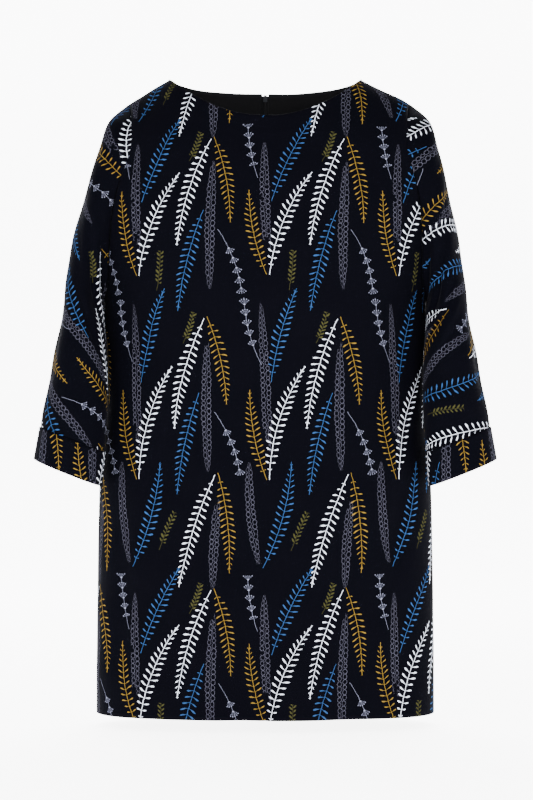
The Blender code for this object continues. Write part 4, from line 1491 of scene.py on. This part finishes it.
def add_facing(side, hand):
    """Half the neck facing. It lies on the cloth, and on the zip tape beside the zip."""
    back = back_side(side, hand)
    top = PANEL_LOW_ROWS + PANEL_HIGH_ROWS
    rows = np.arange(top - FACING_FINE_ROWS, top + 1).astype(float)
    beside = [column_at(back, rows, across) for across in FACING_STEPS]
    rest = [column + 0 * rows for column in range(4, FACING_FINE_COLUMNS + 1)]
    columns = np.stack(beside + rest, axis=1)
    depth = np.full(columns.shape, CLOTH_WALL + SEAM_GAP)
    depth[:, : len(beside)] += TAPE_WALL + SEAM_GAP
    name, node = f"facing_cloth_{side}", f"neck_facing_{side}"
    add_inner_piece(name, back, rows, columns, depth, hand, FACING_WALL, node, "plain_cloth")


def zip_rows():
    """The rows that the zip runs over, ending a little below the neck edge."""
    top = PANEL_LOW_ROWS + PANEL_HIGH_ROWS
    return np.append(np.arange(top - ZIP_FINE_ROWS, top, dtype=float), top - ZIP_TOP_DROP)


def add_tape(side, hand):
    """One side's zip tape, inside the back beside the coil."""
    back = back_side(side, hand)
    rows = zip_rows()
    across = np.linspace(COIL_HALF_WIDTH + SEAM_GAP, TAPE_WIDTH, TAPE_COLUMNS)
    columns = np.stack([column_at(back, rows, place) for place in across], axis=1)
    depth = np.full(columns.shape, CLOTH_WALL + SEAM_GAP)
    name, node = f"tape_cloth_{side}", f"zip_tape_{side}"
    add_inner_piece(name, back, rows, columns, depth, hand, TAPE_WALL, node, "zip_tape", across)


def tooth_mesh():
    """One turn of the coil across the zip, with rounded ends."""
    bpy.ops.object.select_all(action="DESELECT")
    bpy.ops.mesh.primitive_cylinder_add(
        vertices=TOOTH_SIDES, radius=TOOTH_RADIUS, depth=2 * COIL_HALF_WIDTH, end_fill_type="NGON"
    )
    tooth = bpy.context.object
    bpy.ops.object.mode_set(mode="EDIT")
    bpy.ops.mesh.select_all(action="SELECT")
    bpy.ops.transform.rotate(value=math.pi / 2, orient_axis="Y", center_override=(0, 0, 0))
    bpy.ops.mesh.bevel(offset=TOOTH_BEVEL * TOOTH_RADIUS, segments=2, clamp_overlap=True)
    bpy.ops.object.mode_set(mode="OBJECT")
    mesh = tooth.data
    bpy.data.objects.remove(tooth)
    mesh.shade_smooth()
    return mesh


def core_corners(spine, out, run, end):
    """Corners of the flat cord that the coil is sewn round, four at each place along the zip. It lies on
    the tapes' edges."""
    depth = CLOTH_WALL + SEAM_GAP + TAPE_WALL + SEAM_GAP
    across = np.array((COIL_HALF_WIDTH + 2 * SEAM_GAP, 0, 0))
    found = []
    for place in np.append(run[run < end], end):
        face = unit(at_run(place, run, out))
        middle = at_run(place, run, spine) - depth * face
        thick = CORE_HALF_THICKNESS * face
        for way, turn in ((1, -1), (1, 1), (-1, 1), (-1, -1)):
            found.append(middle + way * across + turn * thick)
    return found


def add_teeth():
    """The closed coil between the tapes, turn under turn, up to the slider."""
    points, normals = back_side("left", 1)
    rows = zip_rows()[:-1].astype(int)
    spine = points[rows, 0] * (0, 1, 1)
    out = unit(normals[rows, 0] * (0, 1, 1))
    run = run_along(spine)
    edge = run_along(points[rows[0] :, 0] * (0, 1, 1))[-1]
    tooth = tooth_mesh()
    whole = bmesh.new()
    places = np.arange(TOOTH_PITCH / 2, edge - SLIDER_DROP, TOOTH_PITCH)
    for number, place in enumerate(places):
        face = Vector(at_run(place, run, out)).normalized()
        down = Vector((1, 0, 0)).cross(face)
        turned = Matrix(((1, 0, 0), down, face)).transposed().to_4x4()
        centre = Vector(at_run(place, run, spine)) - (CLOTH_WALL + SEAM_GAP + COIL_THICKNESS / 2) * face
        lean_to = Matrix.Rotation(math.radians(TOOTH_LEAN if number % 2 else -TOOTH_LEAN), 4, "Z")
        copy = tooth.copy()
        copy.transform(Matrix.Translation(centre) @ turned @ lean_to)
        whole.from_mesh(copy)
        bpy.data.meshes.remove(copy)
    core = [whole.verts.new(corner) for corner in core_corners(spine, out, run, places[-1])]
    for k in range(0, len(core) - 4, 4):
        for a, b in ((0, 1), (1, 2), (2, 3), (3, 0)):
            whole.faces.new((core[k + a], core[k + b], core[k + 4 + b], core[k + 4 + a]))
    whole.faces.new(core[3::-1])
    whole.faces.new(core[-4:])
    mesh = bpy.data.meshes.new("zip_teeth")
    whole.to_mesh(mesh)
    whole.free()
    mesh.shade_smooth()
    teeth = add_piece("zip_teeth", mesh, [shared(coil_nylon)])
    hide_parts("zip_coil")


# ---------------------------------------------------------------------------------------------------
# Operators.


class DRESS_OT_body(bpy.types.Operator):
    """Make the front and the two halves of the back"""

    bl_idname = "dress.body"
    bl_label = "Body cloth"

    def execute(self, context):
        add_front()
        for side, hand in HANDS:
            add_back(side, hand)
        return {"FINISHED"}


class DRESS_OT_sleeves(bpy.types.Operator):
    """Make the sleeves and their cuffs"""

    bl_idname = "dress.sleeves"
    bl_label = "Sleeves and cuffs"

    def execute(self, context):
        for side, hand in HANDS:
            add_sleeve(side, hand)
        return {"FINISHED"}


class DRESS_OT_facing(bpy.types.Operator):
    """Make the two halves of the back neck facing"""

    bl_idname = "dress.facing"
    bl_label = "Neck facing"

    def execute(self, context):
        for side, hand in HANDS:
            add_facing(side, hand)
        return {"FINISHED"}


class DRESS_OT_zip(bpy.types.Operator):
    """Make the zip's tapes and coil, and finish its slider and pull tab"""

    bl_idname = "dress.zip"
    bl_label = "Zip"

    def execute(self, context):
        for side, hand in HANDS:
            add_tape(side, hand)
        add_teeth()
        for node in ("zip_slider", "zip_pull"):
            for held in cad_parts[node].material_slots:
                held.material = shared(plated_zinc)
        return {"FINISHED"}


class DRESS_OT_studio(bpy.types.Operator):
    """Set up the floor, the lights and the camera"""

    bl_idname = "dress.studio"
    bl_label = "Studio"

    def execute(self, context):
        scene = context.scene
        floor_level = -DRESS_LENGTH - scene.dress_studio.floor_drop
        bpy.ops.object.select_all(action="DESELECT")
        bpy.ops.mesh.primitive_plane_add(size=1, location=(0, 0, 0))
        paper = context.object
        paper.name = "background_paper"
        # Floor in front, a wide bend, and the wall behind.
        shape = bmesh.new()
        profile = [(SWEEP_FRONT, floor_level), (SWEEP_BEND, floor_level)]
        for step in range(1, SWEEP_STEPS + 1):
            turn = math.pi / 2 * step / SWEEP_STEPS
            rise = SWEEP_RADIUS * (1 - math.cos(turn))
            profile.append((SWEEP_BEND + SWEEP_RADIUS * math.sin(turn), floor_level + rise))
        profile.append((SWEEP_BEND + SWEEP_RADIUS, SWEEP_TOP))
        left, right = (
            [shape.verts.new((x, y, z)) for y, z in profile] for x in (-SWEEP_HALF_WIDTH, SWEEP_HALF_WIDTH)
        )
        for k in range(len(profile) - 1):
            shape.faces.new((left[k], right[k], right[k + 1], left[k + 1]))
        shape.to_mesh(paper.data)
        shape.free()
        paper.data.shade_smooth()
        paper.data.materials.append(shared(studio_paper))
        world = bpy.data.worlds.new("surround")
        scene.world = world
        world.use_nodes = True
        backdrop = world.node_tree.nodes["Background"]
        backdrop.inputs["Color"].default_value = (1, 1, 1, 1)
        backdrop.inputs["Strength"].default_value = scene.dress_studio.sky
        for name, place, size, share in LIGHTS:
            bpy.ops.object.light_add(type="AREA", location=place)
            light = context.object
            light.name = name
            light.data.size = size
            light.data.energy = share * scene.dress_studio.key_power
            light.rotation_euler = (LIGHT_AIM - Vector(place)).to_track_quat("-Z", "Y").to_euler()
        bpy.ops.object.camera_add(location=(PHOTO_CENTRE[0], -PHOTO_DISTANCE, PHOTO_CENTRE[1]))
        camera = context.object
        camera.rotation_euler = (math.pi / 2, 0, 0)
        camera.data.sensor_fit = "VERTICAL"
        camera.data.angle_y = 2 * math.atan(PHOTO_HEIGHT / 2 / PHOTO_DISTANCE)
        scene.camera = camera
        return {"FINISHED"}


class DRESS_PT_parts(bpy.types.Panel):
    """The dress's pieces and finishes"""

    bl_idname = "DRESS_PT_parts"
    bl_label = "Shift dress"
    bl_space_type = "VIEW_3D"
    bl_region_type = "UI"
    bl_category = "Shift dress"

    def draw(self, context):
        layout = self.layout
        for operator in OPERATORS:
            layout.operator(operator.bl_idname)
        for group in (context.scene.dress_cloth, context.scene.dress_colours, context.scene.dress_studio):
            box = layout.box()
            for name in group.bl_rna.properties.keys():
                if name not in ("rna_type", "name"):
                    box.prop(group, name)


GROUPS = (("dress_cloth", DressCloth), ("dress_colours", DressColours), ("dress_studio", DressStudio))
OPERATORS = (DRESS_OT_body, DRESS_OT_sleeves, DRESS_OT_facing, DRESS_OT_zip, DRESS_OT_studio)


def register():
    for name, group in GROUPS:
        bpy.utils.register_class(group)
        setattr(bpy.types.Scene, name, bpy.props.PointerProperty(type=group))
    for operator in OPERATORS:
        bpy.utils.register_class(operator)
    bpy.utils.register_class(DRESS_PT_parts)


def unregister():
    bpy.utils.unregister_class(DRESS_PT_parts)
    for operator in reversed(OPERATORS):
        bpy.utils.unregister_class(operator)
    for name, group in reversed(GROUPS):
        delattr(bpy.types.Scene, name)
        bpy.utils.unregister_class(group)


def main():
    register()
    bpy.ops.dress.body()
    bpy.ops.dress.sleeves()
    bpy.ops.dress.facing()
    bpy.ops.dress.zip()
    bpy.ops.dress.studio()


if __name__ == "__main__":
    main()
